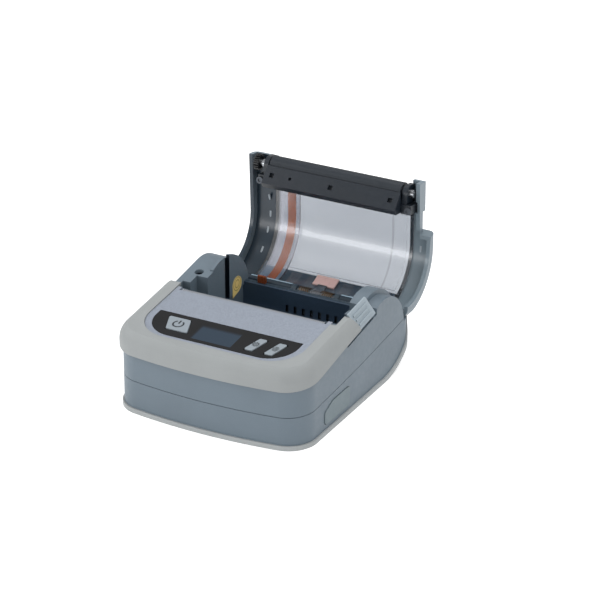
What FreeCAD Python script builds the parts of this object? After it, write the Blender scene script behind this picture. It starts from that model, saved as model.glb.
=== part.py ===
import FreeCAD, Part
import math
import os

import Sketcher

# Portable label printer with its lid open. Millimetres, +Z up, front towards -Y, right side towards +X.
# The origin is the middle of the base, on the surface that the printer stands on.
# Lid pieces are drawn with the lid closed, and then turned open about the hinge pin.

SIZES = {
    # case outline in plan
    "shell_half_width": 55.5,
    "shell_front_reach": 62.8,
    "shell_rear_reach": 64.5,
    "front_bow_radius": 300.0,
    "front_corner_radius": 15.5,
    "rear_corner_radius": 8.0,
    # tail: the quarter ellipse that lifts the underside at the back
    "tail_reach": 33.5,
    "tail_crest_z": 26.0,
    "base_lift": 1.0,
    # case walls and the line where the two shells meet
    "wall": 2.2,
    "floor_thickness": 2.0,
    "seam_gap": 0.3,
    "parting_front_z": 17.9,
    "parting_middle_z": 21.7,
    "parting_rear_z": 28.8,
    "rear_sill_z": 26.2,
    "rear_opening_z": 24.0,
    # control deck
    "deck_tilt": 6.2,
    "deck_edge_y": 9.0,
    "deck_edge_z": 50.4,
    "deck_thickness": 2.0,
    "deck_end_y": 9.5,
    "core_inset": 1.6,
    "core_round": 6.0,
    # paper compartment and roll centre
    "lid_rear_room": 1.3,
    "roll_centre_z": 25.0,
    "side_room": 14.5,
    "bay_wall": 2.0,
    "bay_rear_room": 9.6,
    "bay_rear_bar": 2.1,
    "bay_rear_top_z": 29.3,
    "bay_front_top_z": 33.0,
    "shoulder_drop": 6.4,
    "shoulder_slope": 9.0,
    "left_hump_drop": 4.4,
    "left_hump_width": 2.0,
    "right_hump_drop": 4.9,
    "right_hump_inset": 6.9,
    "hump_reach": 11.6,
    "cheek_drop": 7.5,
    "cheek_reach": 8.6,
    "pocket_front_y": 7.2,
    "left_pocket_wall": 3.5,
    "left_pocket_step_y": 6.9,
    "left_pocket_step_wall": 8.0,
    "left_pocket_rear_y": 14.0,
    "left_pocket_floor_z": 36.0,
    "right_pocket_rear_y": 14.5,
    "right_pocket_floor_z": 37.0,
    "pocket_web_inset": 6.2,
    "pocket_web": 1.0,
    "pocket_web_top_z": 47.0,
    "hump_slot_lag": 0.6,
    "hump_slot_width": 4.8,
    "hump_slot_bottom_z": 24.0,
    "screw_well_radius": 2.5,
    "screw_well_inset": 7.4,
    "screw_well_y": 17.5,
    # bottom ring
    "ring_outset": 1.0,
    "ring_height": 2.6,
    "ring_foot_width": 9.0,
    "ring_tail_rise": 6.5,
    "ring_cross_half": 9.0,
    "sole_margin": 1.0,
    # front bumper
    "bumper_outset": 1.9,
    "bumper_round": 10.0,
    "bumper_crest": 1.7,
    "bumper_rise": 0.5,
    "bumper_low_front_z": 33.6,
    "bumper_bend_y": 61.0,
    "bumper_mid_y": 28.0,
    "bumper_mid_z": 38.9,
    "bumper_rear_z": 44.5,
    "bumper_rear_y": 5.0,
    "bumper_sag_share": 0.45,
    "bumper_left_end_y": 5.0,
    "bumper_end_lean": 5.0,
    # control panel and its window
    "panel_side_rim": 9.5,
    "panel_front_rim": 7.6,
    "panel_corner_radius": 18.0,
    "panel_thickness": 1.2,
    "panel_rear_y": 11.0,
    "panel_ear_y": 8.0,
    "panel_ear_inset": 2.6,
    "panel_gap": 0.15,
    "window_side_rim": 4.0,
    "window_front_rim": 2.3,
    "window_depth": 20.4,
    "window_corner_radius": 15.8,
    "window_thickness": 0.8,
    # display
    "display_left_margin": 11.9,
    "display_right_margin": 11.4,
    "display_front_margin": 2.7,
    "display_depth": 12.6,
    "display_drop": 1.1,
    # buttons: each leans towards the middle of the panel
    "power_inset": 15.9,
    "power_setback": 11.2,
    "power_width": 12.8,
    "power_length": 11.4,
    "power_lean": 4.2,
    "settings_inset": 21.5,
    "feed_inset": 10.1,
    "small_button_setback": 9.7,
    "small_button_width": 4.7,
    "small_button_length": 11.8,
    "small_button_lean": -3.3,
    "button_corner": 1.0,
    "button_rise": 0.5,
    "button_height": 4.5,
    "button_gap": 0.3,
    # tear bar
    "tear_overhang": 1.4,
    "tear_thickness": 1.0,
    "tooth_pitch": 1.06,
    "tooth_depth": 0.7,
    # hinge
    "hinge_inset": 3.8,
    "hinge_z": 27.4,
    "lid_open_angle": 97.0,
    "pin_radius": 1.3,
    "pin_half_length": 24.0,
    "barrel_radius": 2.9,
    "barrel_inset": 4.0,
    "barrel_inner_x": 15.0,
    "lug_inner_x": 11.6,
    "lug_width": 3.0,
    "lug_radius": 2.8,
    "running_gap": 0.05,
    "moving_gap": 0.4,
    "spring_wire": 0.7,
    "spring_coil_radius": 2.35,
    "spring_pitch": 1.25,
    "spring_inner_x": 3.6,
    "hinge_tab_half": 2.8,
    "hinge_tab_radius": 2.4,
    # lid
    "lid_radius": 31.2,
    "lid_slope": 7.0,
    "lid_thickness": 2.2,
    "lid_edge_round": 3.6,
    "lid_seat_gap": 0.3,
    "lid_left_front_y": 4.5,
    "lid_right_front_y": 7.2,
    "lid_narrow_inset": 6.5,
    "lid_step_lean": 0.28,
    "lid_throat_left_inset": 0.4,
    "lid_throat_right_outset": 1.4,
    "lid_throat_y": 2.9,
    "lid_tail_angle": 3.6,
    "lid_window_left_inset": 2.0,
    "lid_window_right_outset": 0.5,
    "lid_window_front_y": 12.0,
    "lid_window_end_angle": 34.5,
    "lid_insert_end_angle": 15.0,
    "lid_window_thickness": 1.8,
    "lid_window_lip": 2.0,
    "lid_window_lip_depth": 0.8,
    "window_gap": 0.1,
    # platen roller
    "platen_y": -1.0,
    "platen_z": 44.8,
    "platen_radius": 5.3,
    "platen_end_room": 1.2,
    "platen_shaft_radius": 1.5,
    "platen_shaft_left_inset": 4.1,
    "platen_shaft_right_inset": 9.3,
    "bush_radius": 2.2,
    "bush_inset": 9.6,
    # sensor bar
    "bar_end_gap": 0.4,
    "bar_front_y": -2.3,
    "bar_front_z": 38.5,
    "bar_low_y": 6.6,
    "bar_low_z": 32.7,
    "bar_back_y": 9.4,
    "bar_roller_gap": 0.5,
    "bar_window": 2.6,
    "bar_window_depth": 1.6,
    "end_cheek_round": 4.6,
    "end_foot_width": 3.0,
    "foot_inset": 10.4,
    "foot_y": 7.5,
    "foot_front_y": 4.5,
    "foot_rear_y": 9.7,
    "foot_low_z": 41.0,
    "foot_top_z": 48.0,
    # lid ribbon and its cover
    "ribbon_inset": 7.5,
    "ribbon_width": 4.9,
    "ribbon_thickness": 0.3,
    "ribbon_loop_height": 4.3,
    "cover_inset": 2.6,
    "cover_width": 12.6,
    "cover_thickness": 1.1,
    "ribbon_end_angle": 11.5,
    "pad_half_width": 6.6,
    "pad_start_angle": 20.0,
    "pad_end_angle": 35.0,
    "pad_thickness": 0.7,
    # latch
    "latch_inset": 4.9,
    "latch_rise": 0.4,
    "latch_top_width": 0.9,
    "latch_front_top_y": -1.5,
    "latch_front_low_y": 3.4,
    "latch_rear_top_lead": 2.6,
    "latch_rear_low_lag": 1.0,
    "latch_front_top_z": 53.0,
    "latch_front_low_z": 42.8,
    "latch_rear_top_z": 55.3,
    "latch_rear_low_z": 45.5,
    "latch_travel": 2.0,
    "latch_stem_depth": 1.6,
    "latch_stem_start_share": 0.25,
    "latch_stem_share": 0.39,
    "latch_stem_low_z": 34.5,
    "latch_rib_height": 0.5,
    "latch_rib_width": 1.25,
    "latch_shelf_z": 26.0,
    "latch_shelf_thickness": 1.5,
    "latch_spring_radius": 0.75,
    "latch_spring_wire": 0.4,
    # port cover and sockets
    "port_front_y": 34.7,
    "port_rear_y": 7.2,
    "port_low_z": 5.4,
    "port_high_z": 16.1,
    "port_slant": 9.0,
    "port_cover_thickness": 1.5,
    "port_cover_rise": 0.4,
    "port_gap": 0.3,
    "socket_z": 10.6,
    "usb_y": 13.5,
    "usb_width": 9.0,
    "usb_height": 3.3,
    "usb_wall": 0.4,
    "jack_y": 25.5,
    "jack_size": 9.0,
    "jack_bore": 2.75,
    "jack_depth": 6.8,
    "jack_pin_radius": 1.0,
    "board_inset": 10.9,
    "board_thickness": 1.6,
    "board_front_room": 20.8,
    "board_rear_y": 10.4,
    "board_low_z": 3.4,
    "board_high_z": 33.0,
    # battery
    "battery_margin": 3.5,
    "battery_rear_y": 13.5,
    "battery_radius": 9.2,
    "door_side_room": 16.5,
    "door_front_room": 8.3,
    "door_rear_y": 11.0,
    "door_gap": 0.25,
    "door_grip_half_width": 10.0,
    # drive train
    "gear_module": 0.5,
    "gear_width": 3.0,
    "gear_inset": 4.9,
    "gear_backlash": 0.12,
    "platen_mesh_gap": 0.3,
    "axle_radius": 1.0,
    "motor_y": 24.0,
    "motor_z": 33.4,
    "motor_radius": 9.4,
    "motor_length": 15.0,
    "gear_plate_inset": 10.1,
    "gear_plate_thickness": 1.0,
    "motor_shaft_radius": 0.8,
    # print head
    "head_angle": 36.87,
    "head_end_room": 2.0,
    "head_up": 7.0,
    "head_down": 1.4,
    "head_thickness": 3.2,
    "head_gap": 0.3,
    "head_spring_length": 3.3,
    "head_spring_x": 22.0,
    "head_spring_radius": 1.9,
    "head_spring_wire": 0.4,
    "bracket_thickness": 1.5,
    # boards under the deck
    "switch_board_drop": 5.1,
    "switch_board_thickness": 1.6,
    "switch_board_margin": 3.5,
    "switch_size": 4.0,
    "switch_height": 0.6,
    # screws and bosses
    "boss_inset": 8.2,
    "boss_front_room": 16.8,
    "boss_rear_room": 20.5,
    "boss_radius": 3.2,
    "screw_radius": 1.3,
    "screw_head_radius": 2.3,
    "screw_head_height": 1.4,
    "screw_reach": 8.0,
    "bore_gap": 0.06,
    # compartment liner
    "liner_wall": 1.6,
    "liner_floor_z": 6.2,
    "liner_bend_radius": 14.0,
    "liner_side_gap": 0.3,
    "vent_count": 7.0,
    "vent_width": 1.7,
    "vent_height": 3.8,
    "vent_pitch": 5.0,
    "vent_first_x": -14.0,
    "vent_z": 19.0,
    # sticker
    "sticker_radius": 4.9,
    "sticker_tip": 7.9,
    "sticker_turn": 233.6,
    "sticker_thickness": 0.15,
    "sticker_lag": 13.5,
    "sticker_z": 30.3,
    # working allowance: how far every cutting shape runs past what it cuts
    "overrun": 30.0,
}
NODES = []
doc = FreeCAD.newDocument("label_printer")
sheet = doc.addObject("Spreadsheet::Sheet", "sizes")


class Dim:
    """A size with its value and the expression that gives it from the sheet."""

    def __init__(self, value, text):
        self.value = float(value)
        self.text = text

    def __float__(self):
        return self.value

    def __add__(self, other):
        return joined(self, "+", other)

    def __radd__(self, other):
        return joined(other, "+", self)

    def __sub__(self, other):
        return joined(self, "-", other)

    def __rsub__(self, other):
        return joined(other, "-", self)

    def __mul__(self, other):
        return joined(self, "*", other)

    def __rmul__(self, other):
        return joined(other, "*", self)

    def __truediv__(self, other):
        return joined(self, "/", other)

    def __neg__(self):
        return Dim(-self.value, f"(0 - {self.text})")

    def __lt__(self, other):
        return self.value < float(other)


def as_dim(number):
    return number if isinstance(number, Dim) else Dim(number, repr(float(number)))


def joined(first, sign, second):
    a, b = as_dim(first), as_dim(second)
    results = {"+": a.value + b.value, "-": a.value - b.value, "*": a.value * b.value}
    value = a.value / b.value if sign == "/" else results[sign]
    return Dim(value, f"({a.text} {sign} {b.text})")


def cos_of(angle):
    return Dim(math.cos(math.radians(float(angle))), f"cos({angle.text} * 1 deg)")


class Sizes:
    """The sheet's cells, read back by alias."""

    def __init__(self):
        for row, (alias, number) in enumerate(SIZES.items(), start=1):
            sheet.set(f"A{row}", alias)
            sheet.set(f"B{row}", str(number))
            sheet.setAlias(f"B{row}", alias)
        doc.recompute()
        for alias in SIZES:
            setattr(self, alias, Dim(sheet.get(alias), f"sizes.{alias}"))


s = Sizes()
HALF_TURN = 180.0

# Places across the case, worked out from its half width.
half_x = s.shell_half_width
s.bay_half_width = half_x - s.side_room
s.right_hump_edge_x = half_x - s.right_hump_inset
s.pocket_web_x = half_x - s.pocket_web_inset
s.boss_x = half_x - s.boss_inset
s.board_x = half_x - s.board_inset
s.gear_plane_x = half_x - s.gear_inset
s.gear_plate_x = half_x - s.gear_plate_inset
s.barrel_half_width = half_x - s.barrel_inset
s.lid_narrow_x = half_x - s.lid_narrow_inset
s.latch_inner_x = half_x - s.latch_inset
s.latch_outer_x = half_x + s.latch_rise
s.platen_shaft_left_x = half_x - s.platen_shaft_left_inset
s.platen_shaft_right_x = half_x - s.platen_shaft_right_inset
s.foot_x = half_x - s.foot_inset
s.door_half_width = half_x - s.door_side_room
s.battery_half_width = s.door_half_width - s.battery_margin

# Places across the paper bay, worked out from its half width.
s.tear_half_width = s.bay_half_width + s.tear_overhang
s.platen_half_length = s.bay_half_width - s.platen_end_room
s.head_half_length = s.bay_half_width - s.head_end_room
s.bar_half_length = s.bay_half_width - s.bar_end_gap
s.lid_throat_left_x = s.bay_half_width - s.lid_throat_left_inset
s.lid_throat_right_x = s.bay_half_width + s.lid_throat_right_outset
s.lid_window_left_x = s.bay_half_width - s.lid_window_left_inset
s.lid_window_right_x = s.bay_half_width + s.lid_window_right_outset
s.ribbon_left_x = s.bay_half_width - s.ribbon_inset
s.cover_left_x = s.bay_half_width - s.cover_inset

# Places along the case, worked out from its rear and front reach.
s.roll_centre_y = s.shell_rear_reach - s.lid_radius - s.lid_rear_room
s.hump_front_y = s.roll_centre_y - s.hump_reach
s.cheek_front_y = s.roll_centre_y - s.cheek_reach
s.hump_slot_y = s.roll_centre_y + s.hump_slot_lag
s.sticker_y = s.roll_centre_y + s.sticker_lag
s.bay_rear_y = s.shell_rear_reach - s.bay_rear_room
s.hinge_y = s.shell_rear_reach - s.hinge_inset
s.boss_rear_y = s.shell_rear_reach - s.boss_rear_room
s.tail_start_y = s.shell_rear_reach - s.tail_reach
s.sole_window_rear_y = s.tail_start_y - s.sole_margin
s.latch_rear_top_y = s.hump_front_y - s.latch_rear_top_lead
s.latch_rear_low_y = s.hump_front_y + s.latch_rear_low_lag
latch_reach = s.latch_rear_low_y - s.latch_front_low_y
s.latch_stem_front_y = s.latch_front_low_y + latch_reach * s.latch_stem_start_share
s.latch_stem_length = latch_reach * s.latch_stem_share
s.boss_front_y = s.shell_front_reach - s.boss_front_room
s.board_front_y = s.shell_front_reach - s.board_front_room
s.door_front_y = s.shell_front_reach - s.door_front_room
s.battery_front_y = s.door_front_y - s.battery_margin

# Radii about the roll centre, worked out from the lid's.
s.shoulder_radius = s.lid_radius - s.shoulder_drop
s.left_hump_radius = s.lid_radius - s.left_hump_drop
s.right_hump_radius = s.lid_radius - s.right_hump_drop
s.cheek_radius = s.lid_radius - s.cheek_drop

# Places on the control panel, worked out from its own edges.
s.panel_half_width = half_x - s.panel_side_rim
s.panel_front_y = s.shell_front_reach - s.panel_front_rim
s.panel_ear_inner_x = s.bay_half_width + s.panel_ear_inset
s.window_half_width = s.panel_half_width - s.window_side_rim
s.window_front_y = s.panel_front_y - s.window_front_rim
s.window_rear_y = s.window_front_y - s.window_depth
s.display_front_y = s.window_front_y - s.display_front_margin
s.display_rear_y = s.display_front_y - s.display_depth
s.power_x = s.power_inset - s.window_half_width
s.settings_x = s.window_half_width - s.settings_inset
s.feed_x = s.window_half_width - s.feed_inset
s.display_left_x = s.power_x + s.display_left_margin
s.display_right_x = s.settings_x - s.display_right_margin
s.power_y = s.window_front_y - s.power_setback
s.small_button_y = s.window_front_y - s.small_button_setback
s.switch_board_half_width = s.window_half_width - s.switch_board_margin


def point(x, y, z):
    return FreeCAD.Vector(float(x), float(y), float(z))


def lid_placement():
    """Turns a piece drawn on the closed lid to where it is on the open one."""
    axis_point = point(0, s.hinge_y, s.hinge_z)
    turn = FreeCAD.Rotation(FreeCAD.Vector(1, 0, 0), -float(s.lid_open_angle))
    return FreeCAD.Placement(FreeCAD.Vector(0, 0, 0), turn, axis_point)


def deck_placement():
    """Lays the XY plane on the deck, with its origin at the deck's rear edge."""
    turn = FreeCAD.Rotation(FreeCAD.Vector(1, 0, 0), float(s.deck_tilt))
    return FreeCAD.Placement(point(0, -s.deck_edge_y, s.deck_edge_z), turn)


def along_deck(y_back):
    """Distance along the tilted deck of a place given by how far it is in front of the origin."""
    return (s.deck_edge_y - y_back) / cos_of(s.deck_tilt)


def register(node, placement=None):
    node.Label = node.Name
    if placement is not None:
        node.Placement = placement
    NODES.append(node)
    return node


def feature(name, shape, placement=None):
    """A piece whose shape is built by boolean work on swept outlines."""
    node = doc.addObject("Part::Feature", name)
    node.Shape = shape
    return register(node, placement)


def box_part(name, low, high, keep=True):
    """A box bound to the sheet by its low and high corners."""
    item = doc.addObject("Part::Box", name)
    sides = ("Length", "Width", "Height")
    for index, axis in enumerate("xyz"):
        item.setExpression(sides[index], (as_dim(high[index]) - low[index]).text)
        item.setExpression(f"Placement.Base.{axis}", as_dim(low[index]).text)
    if keep:
        register(item)
    return item


def rod_part(name, radius, start, length, direction="z", keep=True):
    """A cylinder bound to the sheet, along one axis."""
    item = doc.addObject("Part::Cylinder", name)
    quarter = HALF_TURN / 2
    turns = {"x": ((0, 1, 0), quarter), "y": ((1, 0, 0), -quarter), "z": ((0, 0, 1), 0)}
    axis, angle = turns[direction]
    item.Placement = FreeCAD.Placement(FreeCAD.Vector(), FreeCAD.Rotation(FreeCAD.Vector(*axis), angle))
    item.setExpression("Radius", as_dim(radius).text)
    item.setExpression("Height", as_dim(length).text)
    for index, letter in enumerate("xyz"):
        item.setExpression(f"Placement.Base.{letter}", as_dim(start[index]).text)
    if keep:
        register(item)
    return item


def cut_part(name, base, tool, keep=True):
    item = doc.addObject("Part::Cut", name)
    item.Base = base
    item.Tool = tool
    if keep:
        register(item)
    return item


def fuse_part(name, pieces, keep=True):
    item = doc.addObject("Part::MultiFuse", name)
    item.Shapes = pieces
    if keep:
        register(item)
    return item


def origin_plane(body, role):
    return next(item for item in body.Origin.OriginFeatures if item.Role == role)


def draw_polygon(sketch, corners):
    """A closed polygon whose corners are all bound to the sheet."""
    first = sketch.GeometryCount
    count = len(corners)
    for index, corner in enumerate(corners):
        following = corners[(index + 1) % count]
        line = Part.LineSegment(point(*corner, 0), point(*following, 0))
        sketch.addGeometry(line)
    for index in range(count):
        following = first + (index + 1) % count
        sketch.addConstraint(Sketcher.Constraint("Coincident", first + index, 2, following, 1))
    for index, corner in enumerate(corners):
        for kind, size in zip(("DistanceX", "DistanceY"), corner):
            made = sketch.addConstraint(Sketcher.Constraint(kind, -1, 1, first + index, 1, float(size)))
            sketch.setExpression(f"Constraints[{made}]", as_dim(size).text)


def draw_circle(sketch, centre, radius):
    circle = Part.Circle(point(*centre, 0), FreeCAD.Vector(0, 0, 1), float(radius))
    item = sketch.addGeometry(circle)
    for kind, size in zip(("DistanceX", "DistanceY"), centre):
        made = sketch.addConstraint(Sketcher.Constraint(kind, -1, 1, item, 3, float(size)))
        sketch.setExpression(f"Constraints[{made}]", as_dim(size).text)
    made = sketch.addConstraint(Sketcher.Constraint("Radius", item, float(radius)))
    sketch.setExpression(f"Constraints[{made}]", as_dim(radius).text)


class Plate:
    """A body padded from a bound outline, with bound pockets."""

    def __init__(self, name, role, corners, start, thickness, circle=None):
        self.body = doc.addObject("PartDesign::Body", name)
        self.role = role
        sketch = self.new_sketch("outline", start)
        if circle:
            draw_circle(sketch, corners, circle)
        else:
            draw_polygon(sketch, corners)
        pad = self.body.newObject("PartDesign::Pad", f"{name}_pad")
        pad.Profile = sketch
        pad.setExpression("Length", as_dim(thickness).text)
        doc.recompute()

    def new_sketch(self, purpose, offset):
        sketch = self.body.newObject("Sketcher::SketchObject", f"{self.body.Name}_{purpose}")
        sketch.AttachmentSupport = [(origin_plane(self.body, self.role), "")]
        sketch.MapMode = "FlatFace"
        sketch.setExpression("AttachmentOffset.Base.z", as_dim(offset).text)
        return sketch

    def pocket(self, purpose, corners, top, depth, circle=None):
        """Cuts a bound outline from its top level down against the plane's normal."""
        before = self.body.Shape.Volume
        sketch = self.new_sketch(purpose, top)
        outlines = corners if circle or isinstance(corners[0], list) else [corners]
        for outline in outlines:
            if circle:
                draw_circle(sketch, outline, circle)
            else:
                draw_polygon(sketch, outline)
        cut = self.body.newObject("PartDesign::Pocket", f"{self.body.Name}_{purpose}_cut")
        cut.Profile = sketch
        cut.setExpression("Length", as_dim(depth).text)
        doc.recompute()
        if self.body.Shape.Volume >= before:
            raise ValueError(f"{self.body.Name}: {purpose} cuts nothing")
        return self

    def round_edges(self, chosen, radius):
        """Rounds the edges that the test picks from the body's shape so far."""
        tip = self.body.Tip
        names = [f"Edge{n}" for n, edge in enumerate(tip.Shape.Edges, start=1) if chosen(edge)]
        fillet = self.body.newObject("PartDesign::Fillet", f"{self.body.Name}_round")
        fillet.Base = (tip, names)
        fillet.setExpression("Radius", as_dim(radius).text)
        doc.recompute()
        return self

    def keep(self, placement=None):
        return register(self.body, placement)


def edge_along(direction):
    """Picks straight edges that run along a direction."""
    def chosen(edge):
        if edge.Curve.TypeId != "Part::GeomLine":
            return False
        return edge.Curve.Direction.cross(FreeCAD.Vector(*direction)).Length < float(close)
    return chosen


def rectangle(left, right, low, high):
    return [(left, low), (right, low), (right, high), (left, high)]


def wire_face(edges):
    return Part.Face(Part.Wire(Part.__sortEdges__(edges)))


def outline_edges(place, start, steps):
    """Edges from a start point; a step is an end point, or a point on an arc and its end point."""
    edges = []
    here = start
    for step in steps:
        end = step[-1]
        if len(step) == 2:
            edges.append(Part.Arc(place(here), place(step[0]), place(end)).toShape())
        elif (place(here) - place(end)).Length > float(close):
            edges.append(Part.LineSegment(place(here), place(end)).toShape())
        here = end
    return edges


def side_prism(left, right, start, *steps):
    """A solid from a closed outline in Y and Z, between two X places."""
    def place(yz):
        return point(left, yz[0], yz[1])
    edges = outline_edges(place, start, [*steps, (start,)])
    return wire_face(edges).extrude(point(right - left, 0, 0))


def block(left, right, front, rear, low, high):
    corner = point(left, front, low)
    return Part.makeBox(float(right - left), float(rear - front), float(high - low), corner)


def rod(radius, start, end):
    reach = end - start
    return Part.makeCylinder(float(radius), reach.Length, start, reach)


def on_circle(radius, angle, centre_y=None, centre_z=None):
    """A point in Y and Z on a circle, about the roll centre unless another is given."""
    y = s.roll_centre_y if centre_y is None else centre_y
    z = s.roll_centre_z if centre_z is None else centre_z
    turn = math.radians(float(angle))
    return (float(y) + float(radius) * math.cos(turn), float(z) + float(radius) * math.sin(turn))


far = s.overrun
top_z = s.lid_radius + s.roll_centre_z + far
close = s.running_gap / 1000


def to(y, z):
    return ((y, z),)


def arc(middle, end):
    return (middle, end)


def plan_prism(outset, low, high):
    """The case outline in plan, grown or shrunk, as an upright solid."""
    half = float(half_x) + float(outset)
    front = float(s.shell_front_reach) + float(outset)
    rear = float(s.shell_rear_reach) + float(outset)
    bow = float(s.front_bow_radius) + float(outset)
    corner = float(s.front_corner_radius) + float(outset)
    back = float(s.rear_corner_radius) + float(outset)
    bow_y = bow - front
    corner_x = half - corner
    corner_y = bow_y - math.sqrt((bow - corner) ** 2 - corner_x ** 2)
    toward = FreeCAD.Vector(corner_x, corner_y - bow_y, 0).normalize()
    halfway = (toward + FreeCAD.Vector(1, 0, 0)).normalize()
    slant = math.sqrt(0.5)

    def mirrored(x, y, side):
        return point(side * x, y, low)

    edges = []
    front_ends = []
    for side in (1, -1):
        tangent = mirrored(toward.x * bow, bow_y + toward.y * bow, side)
        middle = mirrored(corner_x + halfway.x * corner, corner_y + halfway.y * corner, side)
        side_front = mirrored(half, corner_y, side)
        side_rear = mirrored(half, rear - back, side)
        rear_middle = mirrored(half - back + slant * back, rear - back + slant * back, side)
        rear_end = mirrored(half - back, rear, side)
        edges.append(Part.Arc(tangent, middle, side_front).toShape())
        edges.append(Part.LineSegment(side_front, side_rear).toShape())
        edges.append(Part.Arc(side_rear, rear_middle, rear_end).toShape())
        front_ends.append((tangent, rear_end))
    edges.append(Part.Arc(front_ends[0][0], point(0, -front, low), front_ends[1][0]).toShape())
    edges.append(Part.LineSegment(front_ends[0][1], front_ends[1][1]).toShape())
    return wire_face(edges).extrude(point(0, 0, high - low))


def tail_prism(outset, bottom_z):
    """The case outline seen from the side: a flat bottom that lifts in a quarter ellipse at the back."""
    reach = s.shell_rear_reach - s.tail_start_y + outset
    drop = s.tail_crest_z - bottom_z
    left = -half_x - far

    def place(y, z):
        return point(left, y, z)

    centre = place(s.tail_start_y, s.tail_crest_z)
    crest = place(s.tail_start_y + reach, s.tail_crest_z)
    lowest = place(s.tail_start_y, bottom_z)
    if float(reach) > float(drop):
        curve = Part.Ellipse(crest, lowest, centre)
        quarter = Part.Arc(curve, 0, math.pi / 2).toShape()
    else:
        curve = Part.Ellipse(lowest, crest, centre)
        quarter = Part.Arc(curve, 0, math.pi / 2).toShape()
        if (quarter.Vertexes[-1].Point - crest).Length > float(s.running_gap):
            quarter = Part.Arc(curve, -math.pi / 2, 0).toShape()
    front_low = place(-s.shell_front_reach - far, bottom_z)
    front_high = place(-s.shell_front_reach - far, top_z)
    rear_high = place(s.tail_start_y + reach, top_z)
    corners = [lowest, front_low, front_high, rear_high, crest]
    edges = [quarter]
    for first, second in zip(corners, corners[1:]):
        edges.append(Part.LineSegment(first, second).toShape())
    return wire_face(edges).extrude(point(2 * (half_x + far), 0, 0))


def parting_solid(lift):
    """Everything below the gently rising line where the two shells meet."""
    front = (-s.shell_front_reach - s.core_inset - s.core_inset, s.parting_front_z + lift)
    middle = (0, s.parting_middle_z + lift)
    rear = (s.shell_rear_reach + s.core_inset, s.parting_rear_z + lift)
    reach = far + s.shell_rear_reach
    return side_prism(-half_x - far, half_x + far, front, arc(middle, rear), to(reach, rear[1]),
                      to(reach, -far), to(-reach, -far), to(-reach, front[1]))


def deck_slab(rise):
    """Everything under a plane parallel to the deck and the given height above it."""
    size = 4 * (half_x + far)
    slab = Part.makeBox(float(size), float(size), float(size), point(-size / 2, -size / 2, rise - size))
    slab.Placement = deck_placement().multiply(slab.Placement)
    return slab


def tangent_top(radius, slope):
    """Where a line sloping down to the front touches a circle about the roll centre."""
    return on_circle(radius, HALF_TURN / 2 + float(slope))


def line_height(radius, slope, y):
    """Height at y of the line that slopes down to the front from the top of the circle."""
    touch = tangent_top(radius, slope)
    return touch[1] - (touch[0] - float(y)) * math.tan(math.radians(float(slope)))


def sill_point(radius, sill):
    rise = float(sill - s.roll_centre_z)
    return (float(s.roll_centre_y) + math.sqrt(float(radius) ** 2 - rise ** 2), float(sill))


def under_shoulder(left, right, radius, slope, front, sill):
    """A side block whose top slopes up to the rear and then follows the roll circle down."""
    low = -far
    touch = tangent_top(radius, slope)
    end = sill_point(radius, sill)
    rear = s.shell_rear_reach + far
    return side_prism(left, right, (front, low), to(front, line_height(radius, slope, front)), to(*touch),
                      arc(on_circle(radius, 50), end), to(rear, end[1]), to(rear, low))


def under_cheek(left, right, radius, front, sill):
    """A side block whose top follows the roll circle from a given front plane."""
    low = -far
    rise = math.sqrt(float(radius) ** 2 - float(front - s.roll_centre_y) ** 2)
    end = sill_point(radius, sill)
    rear = s.shell_rear_reach + far
    return side_prism(left, right, (front, low), to(front, float(s.roll_centre_z) + rise),
                      arc(on_circle(radius, 60), end), to(rear, end[1]), to(rear, low))


def boss_places():
    return [(side * s.boss_x, y) for side in (1, -1) for y in (-s.boss_front_y, s.boss_rear_y)]


def upright_rods(radius, low, high, places):
    return [rod(radius, point(x, y, low), point(x, y, high)) for x, y in places]


def boss_floor(y):
    """Height of the case's outer surface at a boss, flat in front and lifted at the tail."""
    if float(y) < float(s.tail_start_y):
        return s.base_lift
    across = (float(y) - float(s.tail_start_y)) / float(s.shell_rear_reach - s.tail_start_y)
    return s.tail_crest_z - (s.tail_crest_z - s.base_lift) * math.sqrt(1 - across ** 2)


def port_outline(grow):
    """The slanted outline of the port cover, in Y and Z."""
    low, high = s.port_low_z - grow, s.port_high_z + grow
    front, rear = -s.port_front_y - grow, -s.port_rear_y + grow
    slant_y = front + s.port_slant
    slant_z = low + (high - low) * 2 / 3
    return [(rear, low), (rear, high), (slant_y, high), (front, slant_z), (front, low)]


def rounded_prism(left, right, corners, radius):
    edges = []
    for index, corner in enumerate(corners):
        following = corners[(index + 1) % len(corners)]
        edges.append(Part.LineSegment(point(left, *corner), point(left, *following)).toShape())
    solid = wire_face(edges).extrude(point(right - left, 0, 0))
    runs = [edge for edge in solid.Edges if edge_along((1, 0, 0))(edge)]
    return solid.makeFillet(float(radius), runs)


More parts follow.
